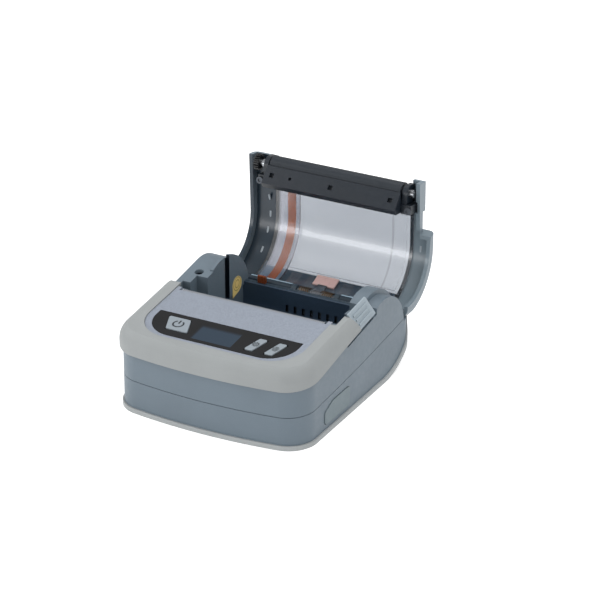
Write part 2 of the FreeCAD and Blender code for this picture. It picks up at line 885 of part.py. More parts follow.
def lower_shell():
    b = s.base_lift
    outer = plan_prism(0, b, top_z).common(tail_prism(0, b)).common(parting_solid(0))
    floor = b + s.floor_thickness
    inner = plan_prism(-s.wall, floor, top_z).common(tail_prism(-s.wall, floor))
    shell = outer.cut(inner)
    bosses = []
    for x, y in boss_places():
        bosses.append(rod(s.boss_radius, point(x, y, boss_floor(y) + s.running_gap), point(x, y, top_z)))
    shell = shell.fuse(bosses[0].multiFuse(bosses[1:]).common(parting_solid(0)).common(outer))
    for x, y in boss_places():
        head_top = boss_floor(y) + s.screw_head_height + s.floor_thickness
        shell = shell.cut(rod(s.screw_radius + s.bore_gap, point(x, y, -far), point(x, y, top_z)))
        shell = shell.cut(rod(s.screw_head_radius + s.bore_gap, point(x, y, -far), point(x, y, head_top)))
    door = block(-s.door_half_width - s.door_gap, s.door_half_width + s.door_gap,
                 -s.door_front_y - s.door_gap, -s.door_rear_y + s.door_gap, -far, floor + s.floor_thickness)
    ports = rounded_prism(half_x - s.port_cover_thickness - s.port_gap + s.port_cover_rise, half_x + far,
                          port_outline(s.port_gap), s.ring_height)
    usb_half, usb_rise = s.usb_width / 2 + s.bore_gap, s.usb_height / 2 + s.bore_gap
    usb = block(s.board_x, half_x, -s.usb_y - usb_half, -s.usb_y + usb_half, s.socket_z - usb_rise,
                s.socket_z + usb_rise)
    jack_half = s.jack_size / 2 + s.bore_gap
    jack = block(s.board_x, half_x, -s.jack_y - jack_half, -s.jack_y + jack_half, s.socket_z - jack_half,
                 s.socket_z + jack_half)
    rear_cut = block(-s.barrel_half_width - s.moving_gap, s.barrel_half_width + s.moving_gap,
                     s.bay_rear_y, s.shell_rear_reach + far, s.rear_opening_z, top_z)
    sill = block(-half_x, half_x, sill_point(s.cheek_radius, s.rear_sill_z)[0], s.shell_rear_reach + far,
                 s.rear_sill_z, top_z)
    for tool in (door, ports, usb, jack, rear_cut, sill):
        shell = shell.cut(tool)
    return feature("lower_shell", shell.removeSplitter())


def bumper_floor():
    """Everything below the bumper's lower edge, which rises along the sides."""
    front, mid, end = s.bumper_low_front_z, s.bumper_mid_z, s.bumper_rear_z
    first_middle = (-(s.bumper_bend_y + s.bumper_mid_y) / 2, front + (mid - front) * s.bumper_sag_share)
    second_middle = ((s.bumper_rear_y - s.bumper_mid_y) / 2, end - (end - mid) * s.bumper_sag_share)
    reach = far + s.shell_rear_reach
    return side_prism(-half_x - far, half_x + far, (-reach, front), to(-s.bumper_bend_y, front),
                      arc(first_middle, (-s.bumper_mid_y, mid)), arc(second_middle, (s.bumper_rear_y, end)),
                      to(reach, end), to(reach, -far), to(-reach, -far))


def core_block(outset, rise, radius, right_end):
    """The front hood: the plan outline under a deck plane, with its upper edges rounded."""
    solid = plan_prism(outset, s.parting_front_z, top_z).common(deck_slab(rise))
    reach_x = half_x + far
    solid = solid.common(block(-reach_x, reach_x, -s.shell_front_reach - far, right_end, -far, top_z))
    normal = deck_placement().Rotation.multVec(FreeCAD.Vector(0, 0, 1))
    level = deck_placement().multVec(point(0, 0, rise))
    rims = []
    for edge in solid.Edges:
        middle = edge.valueAt((edge.FirstParameter + edge.LastParameter) / 2)
        on_plane = abs((middle - level).dot(normal)) < float(s.running_gap)
        if on_plane and middle.y < float(right_end) - float(s.running_gap):
            rims.append(edge)
    return solid.makeFillet(float(radius), rims)


def latch_slot_top():
    """The sloping floor that the latch travels down to."""
    drop = s.latch_travel + s.port_gap
    rear = s.cheek_front_y
    slope = (s.latch_rear_low_z - s.latch_front_low_z) / (s.latch_rear_low_y - s.latch_front_low_y)
    at_zero = s.latch_front_low_z - slope * s.latch_front_low_y - drop
    low_front = -s.pocket_front_y - far
    return side_prism(s.pocket_web_x + s.pocket_web, half_x + far, (low_front, at_zero + slope * low_front),
                      to(rear, at_zero + slope * rear), to(rear, top_z), to(low_front, top_z))


def latch_front_plane(gap):
    """Everything behind the leaning plane where the bumper ends and the latch starts."""
    lean_z = s.latch_front_top_z - s.latch_front_low_z
    lean = (s.latch_front_low_y - s.latch_front_top_y) / lean_z
    high_y = s.latch_front_top_y - gap - lean * (top_z - s.latch_front_top_z)
    low_y = s.latch_front_low_y - gap + lean * (s.latch_front_low_z + far)
    rear = s.shell_rear_reach + far
    return side_prism(s.pocket_web_x, half_x + far, (high_y, top_z), to(low_y, -far), to(rear, -far),
                      to(rear, top_z))


def case_hood():
    """The front part of the upper shell, under the control panel and the bumper."""
    reach_x = half_x + far
    hood = core_block(-s.core_inset, -s.panel_thickness, s.core_round, s.bumper_rear_y)
    hood = hood.cut(latch_front_plane(s.port_gap))
    hood_left = block(-reach_x, -s.bay_half_width, -s.bumper_left_end_y, far, -far, top_z)
    hood_mid = block(-s.bay_half_width, s.bay_half_width, -s.deck_end_y, far, -far, top_z)
    hood_right = block(s.bay_half_width, s.pocket_web_x, -s.pocket_front_y, far, -far, top_z)
    for tool in (hood_left, hood_mid, hood_right):
        hood = hood.cut(tool)
    return hood


def case_blocks(outline):
    """The side blocks beside the paper bay, before they are hollowed."""
    reach_x = half_x + far
    wall_x = s.bay_half_width + s.bay_wall
    rear = s.shell_rear_reach + far
    sill = s.rear_sill_z
    left = under_shoulder(-half_x - s.wall, -wall_x, s.shoulder_radius, s.shoulder_slope, -s.deck_end_y, sill)
    left_front = under_shoulder(-wall_x, -s.bay_half_width, s.shoulder_radius, s.shoulder_slope,
                                -s.deck_end_y, sill)
    left_hump = under_cheek(-s.bay_half_width - s.left_hump_width, -s.bay_half_width, s.left_hump_radius,
                            s.hump_front_y, sill)
    right_hump = under_cheek(s.bay_half_width, s.right_hump_edge_x, s.right_hump_radius, s.hump_front_y, sill)
    cheek = under_cheek(s.right_hump_edge_x, half_x + s.wall, s.cheek_radius, s.cheek_front_y, sill)
    right_front = under_shoulder(s.bay_half_width, half_x + s.wall, s.shoulder_radius, s.shoulder_slope,
                                 -s.deck_end_y, sill)
    behind = block(s.bay_half_width - s.wall, reach_x, s.cheek_front_y, rear, -far, top_z)
    trench = block(s.pocket_web_x + s.pocket_web, half_x - s.wall / 2, s.latch_front_low_y,
                   s.cheek_front_y - s.wall, s.right_pocket_floor_z + s.port_gap, top_z)
    right_front = right_front.cut(behind).cut(latch_slot_top()).cut(trench)
    return left.multiFuse([left_front, left_hump, right_hump, cheek, right_front]).common(outline)


def upper_shell():
    reach_x = half_x + far
    above = block(-reach_x, reach_x, -s.shell_front_reach - far, s.shell_rear_reach + far, -far, top_z)
    above = above.cut(parting_solid(s.seam_gap))
    outline = plan_prism(0, s.parting_front_z - s.wall, top_z).common(tail_prism(0, s.base_lift))
    skirt = outline.common(bumper_floor()).common(deck_slab(-s.panel_thickness))
    skirt_front = block(-reach_x, reach_x, -s.shell_front_reach - far, -s.deck_end_y, -far, top_z)
    hood = case_hood()
    blocks = case_blocks(outline)
    rear_bar = block(-s.barrel_half_width - s.moving_gap, s.barrel_half_width + s.moving_gap, s.bay_rear_y,
                     s.bay_rear_y + s.bay_rear_bar, s.parting_middle_z, s.bay_rear_top_z)
    front_wall = block(-s.bay_half_width - s.bay_wall, s.bay_half_width + s.bay_wall, -s.deck_end_y,
                       -s.deck_end_y + s.bay_wall, s.parting_front_z, s.bay_front_top_z)
    shell = skirt.common(skirt_front).multiFuse([hood, blocks, front_wall]).common(above)
    shell = shell.cut(shell_hollow())
    shell = shell.fuse(front_wall.common(above))
    bosses = upright_rods(s.boss_radius, s.parting_front_z, top_z, boss_places())
    boss_room = hood.fuse(blocks).common(above).common(deck_slab(-s.panel_thickness - s.deck_thickness / 2))
    shell = shell.multiFuse([boss.common(boss_room) for boss in bosses])
    shelf_rear = s.latch_stem_front_y + s.latch_stem_length + s.wall
    shelf = block(s.latch_inner_x - s.pocket_web, half_x - s.wall / 2, s.latch_stem_front_y - s.wall,
                  shelf_rear, s.latch_shelf_z - s.latch_shelf_thickness, s.latch_shelf_z)
    web = block(s.pocket_web_x, s.pocket_web_x + s.pocket_web, -s.pocket_front_y, s.hump_front_y + s.wall,
                s.right_pocket_floor_z - s.wall, s.pocket_web_top_z)
    posts = []
    for x, y in switch_board_posts():
        post = rod(s.screw_radius, point(0, 0, -s.switch_board_drop), point(0, 0, -s.panel_thickness))
        spot = FreeCAD.Placement(point(x, along_deck(y), 0), FreeCAD.Rotation())
        post.Placement = deck_placement().multiply(spot)
        posts.append(post)
    shell = shell.multiFuse([shelf, rear_bar, web, *posts])
    shell = shell.cut(shell_openings())
    shell = shell.fuse(hinge_lugs())
    pin_left, pin_right = point(-half_x, s.hinge_y, s.hinge_z), point(half_x, s.hinge_y, s.hinge_z)
    shell = shell.cut(rod(s.pin_radius, pin_left, pin_right))
    for x, y in boss_places():
        shell = shell.cut(rod(s.screw_radius + s.bore_gap, point(x, y, -far), point(x, y, screw_top())))
    return feature("upper_shell", shell.removeSplitter())


def switch_board_posts():
    inset = s.screw_radius * 2
    half = s.switch_board_half_width - inset
    return [(side * half, y) for side in (1, -1) for y in (s.display_front_y, s.display_rear_y)]


def shell_hollow():
    """The room inside the upper shell, left and right of the bay and under the deck."""
    inner = plan_prism(-s.wall, -far, top_z)
    deep = plan_prism(-s.wall - s.core_inset, -far, top_z)
    front = deep.common(deck_slab(-s.panel_thickness - s.deck_thickness))
    front = front.common(block(-half_x, half_x, -s.shell_front_reach, -s.deck_end_y, -far, top_z))
    radius = s.shoulder_radius - s.wall
    left = under_shoulder(-half_x, -s.bay_half_width - s.bay_wall, radius, s.shoulder_slope, -s.deck_end_y,
                          s.rear_sill_z - s.wall)
    left = left.cut(block(-half_x, -s.bay_half_width, -s.pocket_front_y - s.wall,
                          s.left_pocket_rear_y + s.wall, s.left_pocket_floor_z - s.wall, top_z))
    radius = s.cheek_radius - s.wall
    right = under_cheek(s.bay_half_width + s.bay_wall, half_x, radius, s.cheek_front_y + s.wall,
                        s.rear_sill_z - s.wall)
    right_low = block(s.bay_half_width + s.bay_wall, half_x, -s.deck_end_y, s.cheek_front_y + s.wall, -far,
                      s.right_pocket_floor_z - s.wall)
    return front.multiFuse([left.common(inner), right.multiFuse([right_low]).common(inner)])


def shell_openings():
    """What is cut clean through the upper shell: bay, notches, latch recess, deck windows and hump slot."""
    bay = block(-s.bay_half_width, s.bay_half_width, -s.deck_end_y + s.bay_wall, s.bay_rear_y, -far, top_z)
    head_way = block(-s.bay_half_width - s.bay_wall, s.bay_half_width + s.bay_wall,
                     -s.deck_end_y - s.running_gap, -s.deck_end_y + s.bay_wall, s.bay_front_top_z, top_z)
    left_pocket = block(-half_x + s.left_pocket_wall, -s.bay_half_width, -s.pocket_front_y,
                        s.left_pocket_step_y, s.left_pocket_floor_z, top_z)
    left_pocket_rear = block(-half_x + s.left_pocket_step_wall, -s.bay_half_width, s.left_pocket_step_y,
                             s.left_pocket_rear_y, s.left_pocket_floor_z, top_z)
    well_x = -half_x + s.screw_well_inset
    well = rod(s.screw_well_radius, point(well_x, s.screw_well_y, s.left_pocket_floor_z),
               point(well_x, s.screw_well_y, top_z))
    right_pocket = block(s.bay_half_width, s.pocket_web_x, -s.pocket_front_y, s.right_pocket_rear_y,
                         s.right_pocket_floor_z, top_z)
    ledge = block(s.bay_half_width, s.pocket_web_x, -s.pocket_front_y, s.hump_front_y,
                  s.pocket_web_top_z - s.lid_seat_gap - s.wall, top_z)
    drive = drive_place()
    drive_reach = gear_radius("drive") + s.wall
    gear_slot = block(-s.gear_plane_x - s.wall / 2, -s.gear_plate_x + s.gear_plate_thickness + s.port_gap,
                      drive[0] - drive_reach, drive[0] + drive_reach,
                      s.left_pocket_floor_z - s.wall - s.wall, drive[1] + drive_reach)
    stem = block(s.latch_inner_x + s.latch_top_width - s.port_gap,
                 s.latch_inner_x + s.latch_top_width + s.latch_stem_depth + s.port_gap,
                 s.latch_stem_front_y - s.port_gap,
                 s.latch_stem_front_y + s.latch_stem_length + s.latch_travel / 2 + s.port_gap,
                 s.latch_shelf_z, top_z)
    slot = block(-s.bay_half_width - s.bay_wall, -s.bay_half_width, s.hump_slot_y,
                 s.hump_slot_y + s.hump_slot_width, s.hump_slot_bottom_z, top_z)
    trough_half = s.barrel_half_width + s.moving_gap
    trough = rod(s.barrel_radius + s.moving_gap, point(-trough_half, s.hinge_y, s.hinge_z),
                 point(trough_half, s.hinge_y, s.hinge_z))
    display = deck_box(s.display_left_x, s.display_right_x, s.display_front_y, s.display_rear_y)
    power = button_shape("power", s.port_gap, -s.switch_board_drop, s.wall)
    settings = button_shape("settings", s.port_gap, -s.switch_board_drop, s.wall)
    feed = button_shape("feed", s.port_gap, -s.switch_board_drop, s.wall)
    tools = [head_way, left_pocket, left_pocket_rear, well, right_pocket, ledge, gear_slot, stem, slot]
    return bay.multiFuse([*tools, trough, display, power, settings, feed])


def deck_box(left, right, front_y, rear_y):
    """A tall box through the deck, given by places in front of the origin."""
    low = -s.switch_board_drop
    start, end = along_deck(front_y), along_deck(rear_y)
    corner = point(left, start, low)
    solid = Part.makeBox(float(right - left), float(end - start), float(s.wall - low), corner)
    solid.Placement = deck_placement().multiply(solid.Placement)
    return solid


def hinge_lugs():
    """The two ears on the rear bar that hold the pin."""
    shapes = []
    for side in (1, -1):
        inner = side * s.lug_inner_x
        outer = side * (s.lug_inner_x + s.lug_width)
        low, high = (inner, outer) if side > 0 else (outer, inner)
        ear = rod(s.lug_radius, point(low, s.hinge_y, s.hinge_z), point(high, s.hinge_y, s.hinge_z))
        arm = block(low, high, s.bay_rear_y + s.bay_rear_bar / 2, s.hinge_y, s.hinge_z - s.lug_radius,
                    s.hinge_z + s.lug_radius / 2)
        shapes.append(ear.fuse(arm))
    return shapes[0].fuse(shapes[1])


def front_bumper():
    """The rubber bumper: a flat rim round the panel, a crease, and a rounded outer side."""
    outset = s.bumper_outset
    solid = core_block(outset, s.bumper_crest, s.bumper_round, s.bumper_rear_y + s.bumper_end_lean)
    solid = solid.common(deck_slab(s.bumper_rise))
    reach_x = half_x + far
    rear = s.shell_rear_reach + far
    outline = plan_prism(0, s.parting_front_z - s.wall, top_z).common(tail_prism(0, s.base_lift))
    tools = [bumper_floor(), case_hood(), case_blocks(outline), latch_front_plane(s.port_gap),
             block(-reach_x, 0, -s.bumper_left_end_y, rear, -far, top_z),
             block(-s.bay_half_width - s.bay_wall, s.pocket_web_x, -s.deck_end_y, rear, -far, top_z),
             panel_prism(s.panel_gap, -s.panel_thickness, far),
             block(-s.panel_half_width - s.panel_gap, s.pocket_web_x, -s.panel_rear_y, rear, -far, top_z)]
    for tool in tools:
        solid = solid.cut(tool)
    return feature("front_bumper", solid.removeSplitter())


def panel_corners(half, front_y, rear_y):
    start, end = along_deck(front_y), along_deck(rear_y)
    return [(-half, start), (half, start), (half, end), (-half, end)]


def panel_prism(grow, low, high):
    """The control panel's outline as a solid between two heights over the deck."""
    half = s.panel_half_width + grow
    radius = s.panel_corner_radius + grow
    start = along_deck(s.panel_front_y + grow)
    end = along_deck(s.panel_ear_y - grow)
    solid = Part.makeBox(float(2 * half), float(end - start), float(high - low), point(-half, start, low))
    front = [edge for edge in solid.Edges
             if edge_along((0, 0, 1))(edge) and edge.CenterOfMass.y < float(start) + float(s.running_gap)]
    solid = solid.makeFillet(float(radius), front)
    solid.Placement = deck_placement().multiply(solid.Placement)
    return solid


def button_sizes(kind):
    small = (s.small_button_width, s.small_button_length, s.small_button_lean)
    table = {
        "power": (s.power_x, s.power_y, s.power_width, s.power_length, s.power_lean),
        "settings": (s.settings_x, s.small_button_y, *small),
        "feed": (s.feed_x, s.small_button_y, *small),
    }
    return table[kind]


def button_corners(kind, grow):
    """A button's leaning outline on the deck."""
    x, y, width, length, lean = button_sizes(kind)
    middle = along_deck(y)
    low, high = middle - length / 2 - grow, middle + length / 2 + grow
    half = width / 2 + grow
    shift = lean / 2
    return [(x + shift - half, low), (x + shift + half, low), (x - shift + half, high),
            (x - shift - half, high)]


def button_shape(kind, grow, low, high):
    corners = [point(x, y, low) for x, y in button_corners(kind, grow)]
    solid = Part.Face(Part.makePolygon([*corners, corners[0]])).extrude(point(0, 0, high - low))
    upright = [edge for edge in solid.Edges if edge_along((0, 0, 1))(edge)]
    solid = solid.makeFillet(float(s.button_corner), upright)
    solid.Placement = deck_placement()
    return solid


def control_panel():
    """The silver plate, with a tray for the window and holes for display and buttons."""
    thickness = s.panel_thickness
    outline = panel_corners(s.panel_half_width, s.panel_front_y, s.panel_ear_y)
    plate = Plate("control_panel", "XY_Plane", outline, -thickness, thickness)
    inner = s.panel_ear_inner_x
    throat = rectangle(-inner, inner, along_deck(s.panel_rear_y), along_deck(s.panel_ear_y) + s.wall)
    plate.pocket("throat", throat, 0, thickness)
    tray = panel_corners(s.window_half_width + s.panel_gap, s.window_front_y + s.panel_gap,
                         s.window_rear_y - s.panel_gap)
    plate.pocket("tray", tray, 0, s.window_thickness)
    tray_start = along_deck(s.window_front_y + s.panel_gap)

    def tray_corner(edge):
        near = abs(edge.CenterOfMass.y - float(tray_start)) < float(s.running_gap)
        return edge_along((0, 0, 1))(edge) and near

    plate.round_edges(tray_corner, s.window_corner_radius + s.panel_gap)
    start = along_deck(s.panel_front_y)

    def front_corner(edge):
        return edge_along((0, 0, 1))(edge) and edge.CenterOfMass.y < float(start) + float(s.running_gap)

    plate.round_edges(front_corner, s.panel_corner_radius)
    holes = [button_corners(kind, s.button_gap) for kind in ("power", "settings", "feed")]
    plate.pocket("button_holes", holes, 0, thickness)
    display = rectangle(s.display_left_x, s.display_right_x, along_deck(s.display_front_y),
                        along_deck(s.display_rear_y))
    plate.pocket("display_hole", display, 0, thickness)
    return plate.keep(deck_placement())


def panel_window():
    """The glossy band over the display, with holes for the buttons."""
    plate = Plate("panel_window", "XY_Plane",
                  panel_corners(s.window_half_width, s.window_front_y, s.window_rear_y),
                  -s.window_thickness, s.window_thickness)
    start = along_deck(s.window_front_y)

    def front_corner(edge):
        return edge_along((0, 0, 1))(edge) and edge.CenterOfMass.y < float(start) + float(s.running_gap)

    plate.round_edges(front_corner, s.window_corner_radius)
    holes = [button_corners(kind, s.button_gap) for kind in ("power", "settings", "feed")]
    plate.pocket("button_holes", holes, 0, s.window_thickness)
    return plate.keep(deck_placement())


def push_button(kind):
    plate = Plate(f"{kind}_button", "XY_Plane", button_corners(kind, 0), s.button_rise - s.button_height,
                  s.button_height)
    plate.round_edges(edge_along((0, 0, 1)), s.button_corner)
    top = float(s.button_rise)

    def rim(edge):
        low, high = edge.BoundBox.ZMin, edge.BoundBox.ZMax
        return abs(low - top) < float(close) and abs(high - top) < float(close)

    plate.round_edges(rim, s.button_rise / 2)
    return plate.keep(deck_placement())


def display_module():
    low = -s.switch_board_drop
    inset = s.port_gap
    corners = rectangle(s.display_left_x + inset, s.display_right_x - inset,
                        along_deck(s.display_front_y) + inset, along_deck(s.display_rear_y) - inset)
    plate = Plate("display_module", "XY_Plane", corners, low, -s.display_drop - low)
    return plate.keep(deck_placement())


def switch_board():
    corners = panel_corners(s.switch_board_half_width, s.display_front_y + s.screw_radius * 2,
                            s.display_rear_y - s.screw_radius * 2)
    thickness = s.switch_board_thickness
    top = -s.switch_board_drop
    plate = Plate("button_board", "XY_Plane", corners, top - thickness, thickness)
    holes = [(x, along_deck(y)) for x, y in switch_board_posts()]
    plate.pocket("screw_holes", holes, top, thickness, circle=s.screw_radius / 2)
    return plate.keep(deck_placement())


def push_switches():
    """One small switch under each button."""
    shapes = []
    low = -s.switch_board_drop
    for kind in ("power", "settings", "feed"):
        x, y = button_sizes(kind)[:2]
        half = s.switch_size / 2
        base = Part.makeBox(float(s.switch_size), float(s.switch_size), float(s.switch_height / 2),
                            point(x - half, along_deck(y) - half, low))
        stud = rod(s.switch_size / 4, point(x, along_deck(y), low),
                   point(x, along_deck(y), low + s.switch_height))
        shapes.append(base.fuse(stud))
    return feature("push_switches", Part.makeCompound(shapes), deck_placement())


def tear_bar():
    """A thin steel strip with a row of teeth along its rear edge."""
    half = s.tear_half_width
    rear = along_deck(s.deck_edge_y)
    count = int(2 * float(half) / float(s.tooth_pitch))
    pitch = 2 * half / count
    base = -s.panel_thickness
    front = along_deck(s.panel_rear_y) + s.panel_gap
    corners = [point(half, front, base), point(-half, front, base)]
    for tooth in range(count):
        corners.append(point(pitch * tooth - half, rear - s.tooth_depth, base))
        corners.append(point(pitch * tooth + pitch / 2 - half, rear, base))
    corners.append(point(half, rear - s.tooth_depth, base))
    strip = Part.Face(Part.makePolygon([*corners, corners[0]])).extrude(point(0, 0, s.tear_thickness))
    return feature("tear_bar", strip, deck_placement())


def bottom_ring():
    """The rubber ring round the base, its cross band, and the arms that climb the rear corners."""
    outset = s.ring_outset
    solid = plan_prism(outset, 0, top_z).common(tail_prism(outset, 0))
    lift = s.ring_height
    solid = solid.cut(plan_prism(outset + s.wall, lift, top_z).common(tail_prism(outset - lift, lift)))
    solid = solid.cut(plan_prism(0, s.base_lift, top_z).common(tail_prism(0, s.base_lift)))
    inner = plan_prism(-s.ring_foot_width, -far, top_z)
    front = block(-half_x, half_x, -s.shell_front_reach, -s.ring_cross_half, -far, top_z)
    rear = block(-half_x, half_x, s.ring_cross_half, s.sole_window_rear_y, -far, top_z)
    arms = block(-half_x + s.ring_foot_width, half_x - s.ring_foot_width, s.sole_window_rear_y,
                 s.shell_rear_reach + far, s.ring_tail_rise, top_z)
    solid = solid.cut(inner.common(front)).cut(inner.common(rear)).cut(arms)
    above = block(-half_x - far, half_x + far, -s.shell_front_reach - far, s.shell_rear_reach + far,
                  s.rear_sill_z - s.port_gap, top_z + far)
    lid_room = block(-s.barrel_half_width - s.moving_gap, s.barrel_half_width + s.moving_gap, s.bay_rear_y,
                     s.shell_rear_reach + far, s.rear_opening_z, top_z)
    return feature("bottom_ring", solid.cut(above).cut(lid_room).removeSplitter())


def battery_door():
    plate = Plate("battery_door", "XY_Plane",
                  rectangle(-s.door_half_width, s.door_half_width, -s.door_front_y, -s.door_rear_y),
                  s.base_lift, s.floor_thickness)
    half = s.door_grip_half_width
    grip = rectangle(-half, half, -s.door_rear_y - s.wall * 2, -s.door_rear_y - s.wall)
    plate.pocket("grip", grip, s.base_lift + s.floor_thickness / 2, s.floor_thickness / 2)
    return plate.keep()


def battery_pack():
    """Two cells side by side in one sleeve."""
    radius = s.battery_radius
    low = s.base_lift + s.floor_thickness + s.port_gap
    cells = []
    for y in (-s.battery_front_y + radius, -s.battery_rear_y - radius):
        cells.append(rod(radius, point(-s.battery_half_width, y, low + radius),
                         point(s.battery_half_width, y, low + radius)))
    web = block(-s.battery_half_width, s.battery_half_width, -s.battery_front_y + radius,
                -s.battery_rear_y - radius, low, low + 2 * radius)
    return feature("battery_pack", cells[0].multiFuse([cells[1], web]).removeSplitter())


def paper_tub():
    """The liner of the paper bay: walls and a floor that bends up at front and rear."""
    wall = s.liner_wall
    wide = s.bay_half_width + s.bay_wall
    narrow = s.bay_half_width - s.liner_side_gap
    front = -s.deck_end_y + s.bay_wall + s.liner_side_gap
    rear = s.bay_rear_y - s.liner_side_gap
    floor = s.liner_floor_z - wall

    def trough(half, inset):
        radius = float(s.liner_bend_radius + wall - inset)
        low, high, base = float(front + inset), float(rear - inset), float(floor + inset)
        diagonal = radius * (1 - math.sqrt(0.5))
        return side_prism(-half, half, (low, s.bay_rear_top_z), to(low, base + radius),
                          arc((low + diagonal, base + diagonal), (low + radius, base)),
                          to(high - radius, base),
                          arc((high - diagonal, base + diagonal), (high, base + radius)),
                          to(high, s.bay_rear_top_z))

    low_part = trough(wide, 0).cut(trough(wide - wall, wall)).common(parting_solid(0))
    high_part = trough(narrow, 0).cut(trough(narrow + wall, wall))
    vents = []
    for place in range(int(s.vent_count.value)):
        middle = s.vent_first_x + s.vent_pitch * place
        vents.append(block(middle - s.vent_width / 2, middle + s.vent_width / 2,
                           rear - s.liner_bend_radius / 2, rear + wall, s.vent_z - s.vent_height / 2,
                           s.vent_z + s.vent_height / 2))
    shape = low_part.fuse(high_part).cut(vents[0].multiFuse(vents[1:]))
    return feature("paper_tub", shape.removeSplitter())


TOOTH_COUNTS = {"platen": 16, "drive": 24, "idler": 28, "pinion": 12}
TOOTH_SHARES = {"root": 0.30, "tip": 0.13, "addendum": 0.9, "dedendum": 1.15}


def gear_radius(kind):
    """Pitch radius of a gear of the paper drive."""
    return s.gear_module * TOOTH_COUNTS[kind] / 2


def platen_place():
    return (float(s.platen_y), float(s.platen_z))


def drive_place():
    """Centre of the fixed drive gear: the platen gear lifts straight off it when the lid opens."""
    y, z = platen_place()
    across, up = y - float(s.hinge_y), z - float(s.hinge_z)
    length = math.hypot(across, up)
    reach = float(gear_radius("platen") + gear_radius("drive") + s.platen_mesh_gap)
    return (y - reach * up / length, z + reach * across / length)


def pinion_place():
    return (-float(s.motor_y), float(s.motor_z))


def idler_place():
    """Centre of the gear that meets both the drive gear and the motor's pinion."""
    one, two = drive_place(), pinion_place()
    first = float(gear_radius("idler") + gear_radius("drive") + s.gear_backlash)
    second = float(gear_radius("idler") + gear_radius("pinion") + s.gear_backlash)
    across, up = two[0] - one[0], two[1] - one[1]
    length = math.hypot(across, up)
    along = (first ** 2 - second ** 2 + length ** 2) / (2 * length)
    aside = math.sqrt(first ** 2 - along ** 2)
    return (one[0] + (along * across - aside * up) / length, one[1] + (along * up + aside * across) / length)


def mesh_phase(here, there, phase, kind, other):
    """Angle of the other gear's first tooth, so that its teeth lie in this gear's gaps."""
    line = math.degrees(math.atan2(there[1] - here[1], there[0] - here[0]))
    turn = 2 * HALF_TURN
    teeth = (line - phase) * TOOTH_COUNTS[kind] / turn
    return line + HALF_TURN - (0.5 - teeth) * turn / TOOTH_COUNTS[other]


def gear_solid(kind, place, phase, bore):
    """A spur gear with straight-sided teeth, in the drive's plane."""
    teeth = TOOTH_COUNTS[kind]
    pitch = 2 * HALF_TURN / teeth
    tip = gear_radius(kind) + s.gear_module * TOOTH_SHARES["addendum"]
    root = gear_radius(kind) - s.gear_module * TOOTH_SHARES["dedendum"]
    left = -s.gear_plane_x
    corners = []
    for tooth in range(teeth):
        for radius, share in ((root, -TOOTH_SHARES["root"]), (tip, -TOOTH_SHARES["tip"]),
                              (tip, TOOTH_SHARES["tip"]), (root, TOOTH_SHARES["root"])):
            y, z = on_circle(radius, phase + (tooth + share) * pitch, place[0], place[1])
            corners.append(point(left, y, z))
    solid = Part.Face(Part.makePolygon([*corners, corners[0]])).extrude(point(s.gear_width, 0, 0))
    return solid.cut(rod(bore, point(left - far, *place), point(far, *place)))


def gear_phases():
    idler = 0.0
    drive = mesh_phase(idler_place(), drive_place(), idler, "idler", "drive")
    pinion = mesh_phase(idler_place(), pinion_place(), idler, "idler", "pinion")
    platen = mesh_phase(drive_place(), platen_place(), drive, "drive", "platen")
    return {"idler": idler, "drive": drive, "pinion": pinion, "platen": platen}


def drive_gears():
    phases = gear_phases()
    bore = s.axle_radius + s.running_gap
    feature("drive_gear", gear_solid("drive", drive_place(), phases["drive"], bore))
    feature("idler_gear", gear_solid("idler", idler_place(), phases["idler"], bore))
    feature("motor_pinion", gear_solid("pinion", pinion_place(), phases["pinion"], s.motor_shaft_radius))


def gear_plate():
    """The steel plate that carries the motor and the axles of the fixed gears."""
    left = -s.gear_plate_x
    right = left + s.gear_plate_thickness
    motor = pinion_place()
    drive = drive_place()
    front = motor[0] - float(s.motor_radius) - float(s.gear_plate_thickness)
    rear = drive[0] + float(gear_radius("drive")) - float(s.gear_plate_thickness)
    low = motor[1] - float(s.motor_radius) - float(s.gear_plate_thickness)
    high = drive[1] + float(gear_radius("platen"))
    step = -s.pocket_front_y - s.wall - s.port_gap
    under = s.left_pocket_floor_z - s.wall - s.port_gap
    slot_front = drive[0] - float(gear_radius("drive"))
    plate = block(left, right, front, rear, low, high)
    plate = plate.cut(block(left, right, step, far, under, top_z).cut(
        block(left, right, slot_front - s.axle_radius, far, -far, top_z)))
    hole = s.motor_shaft_radius + s.port_gap
    plate = plate.cut(rod(hole, point(left - far, *motor), point(far, *motor)))
    for place in (drive, idler_place()):
        plate = plate.cut(rod(s.axle_radius, point(left - far, *place), point(far, *place)))
    return feature("gear_plate", plate)


def gear_axles():
    """Steel pins riveted in the gear plate, with a collar behind each gear."""
    shapes = []
    outer = -s.gear_plane_x - s.running_gap * 4
    inner = -s.gear_plate_x + s.gear_plate_thickness
    for place in (drive_place(), idler_place()):
        pin = rod(s.axle_radius, point(outer, *place), point(inner, *place))
        collar = rod(s.axle_radius * 2, point(-s.gear_plane_x + s.gear_width + s.running_gap * 2, *place),
                     point(-s.gear_plate_x, *place))
        shapes.append(pin.fuse(collar).removeSplitter())
    return feature("gear_axles", Part.makeCompound(shapes))


def stepper_motor():
    centre = pinion_place()
    left = -s.gear_plate_x + s.gear_plate_thickness
    can = rod(s.motor_radius, point(left, *centre), point(left + s.motor_length, *centre))
    bore = rod(s.motor_shaft_radius + s.running_gap, point(left, *centre),
               point(left + s.motor_length / 2 + s.port_gap, *centre))
    return feature("stepper_motor", can.cut(bore))


def motor_shaft():
    centre = pinion_place()
    left = -s.gear_plate_x + s.gear_plate_thickness
    outer = -s.gear_plane_x - s.running_gap * 4
    shaft = rod(s.motor_shaft_radius, point(outer, *centre), point(left + s.motor_length / 2, *centre))
    return feature("motor_shaft", shaft)


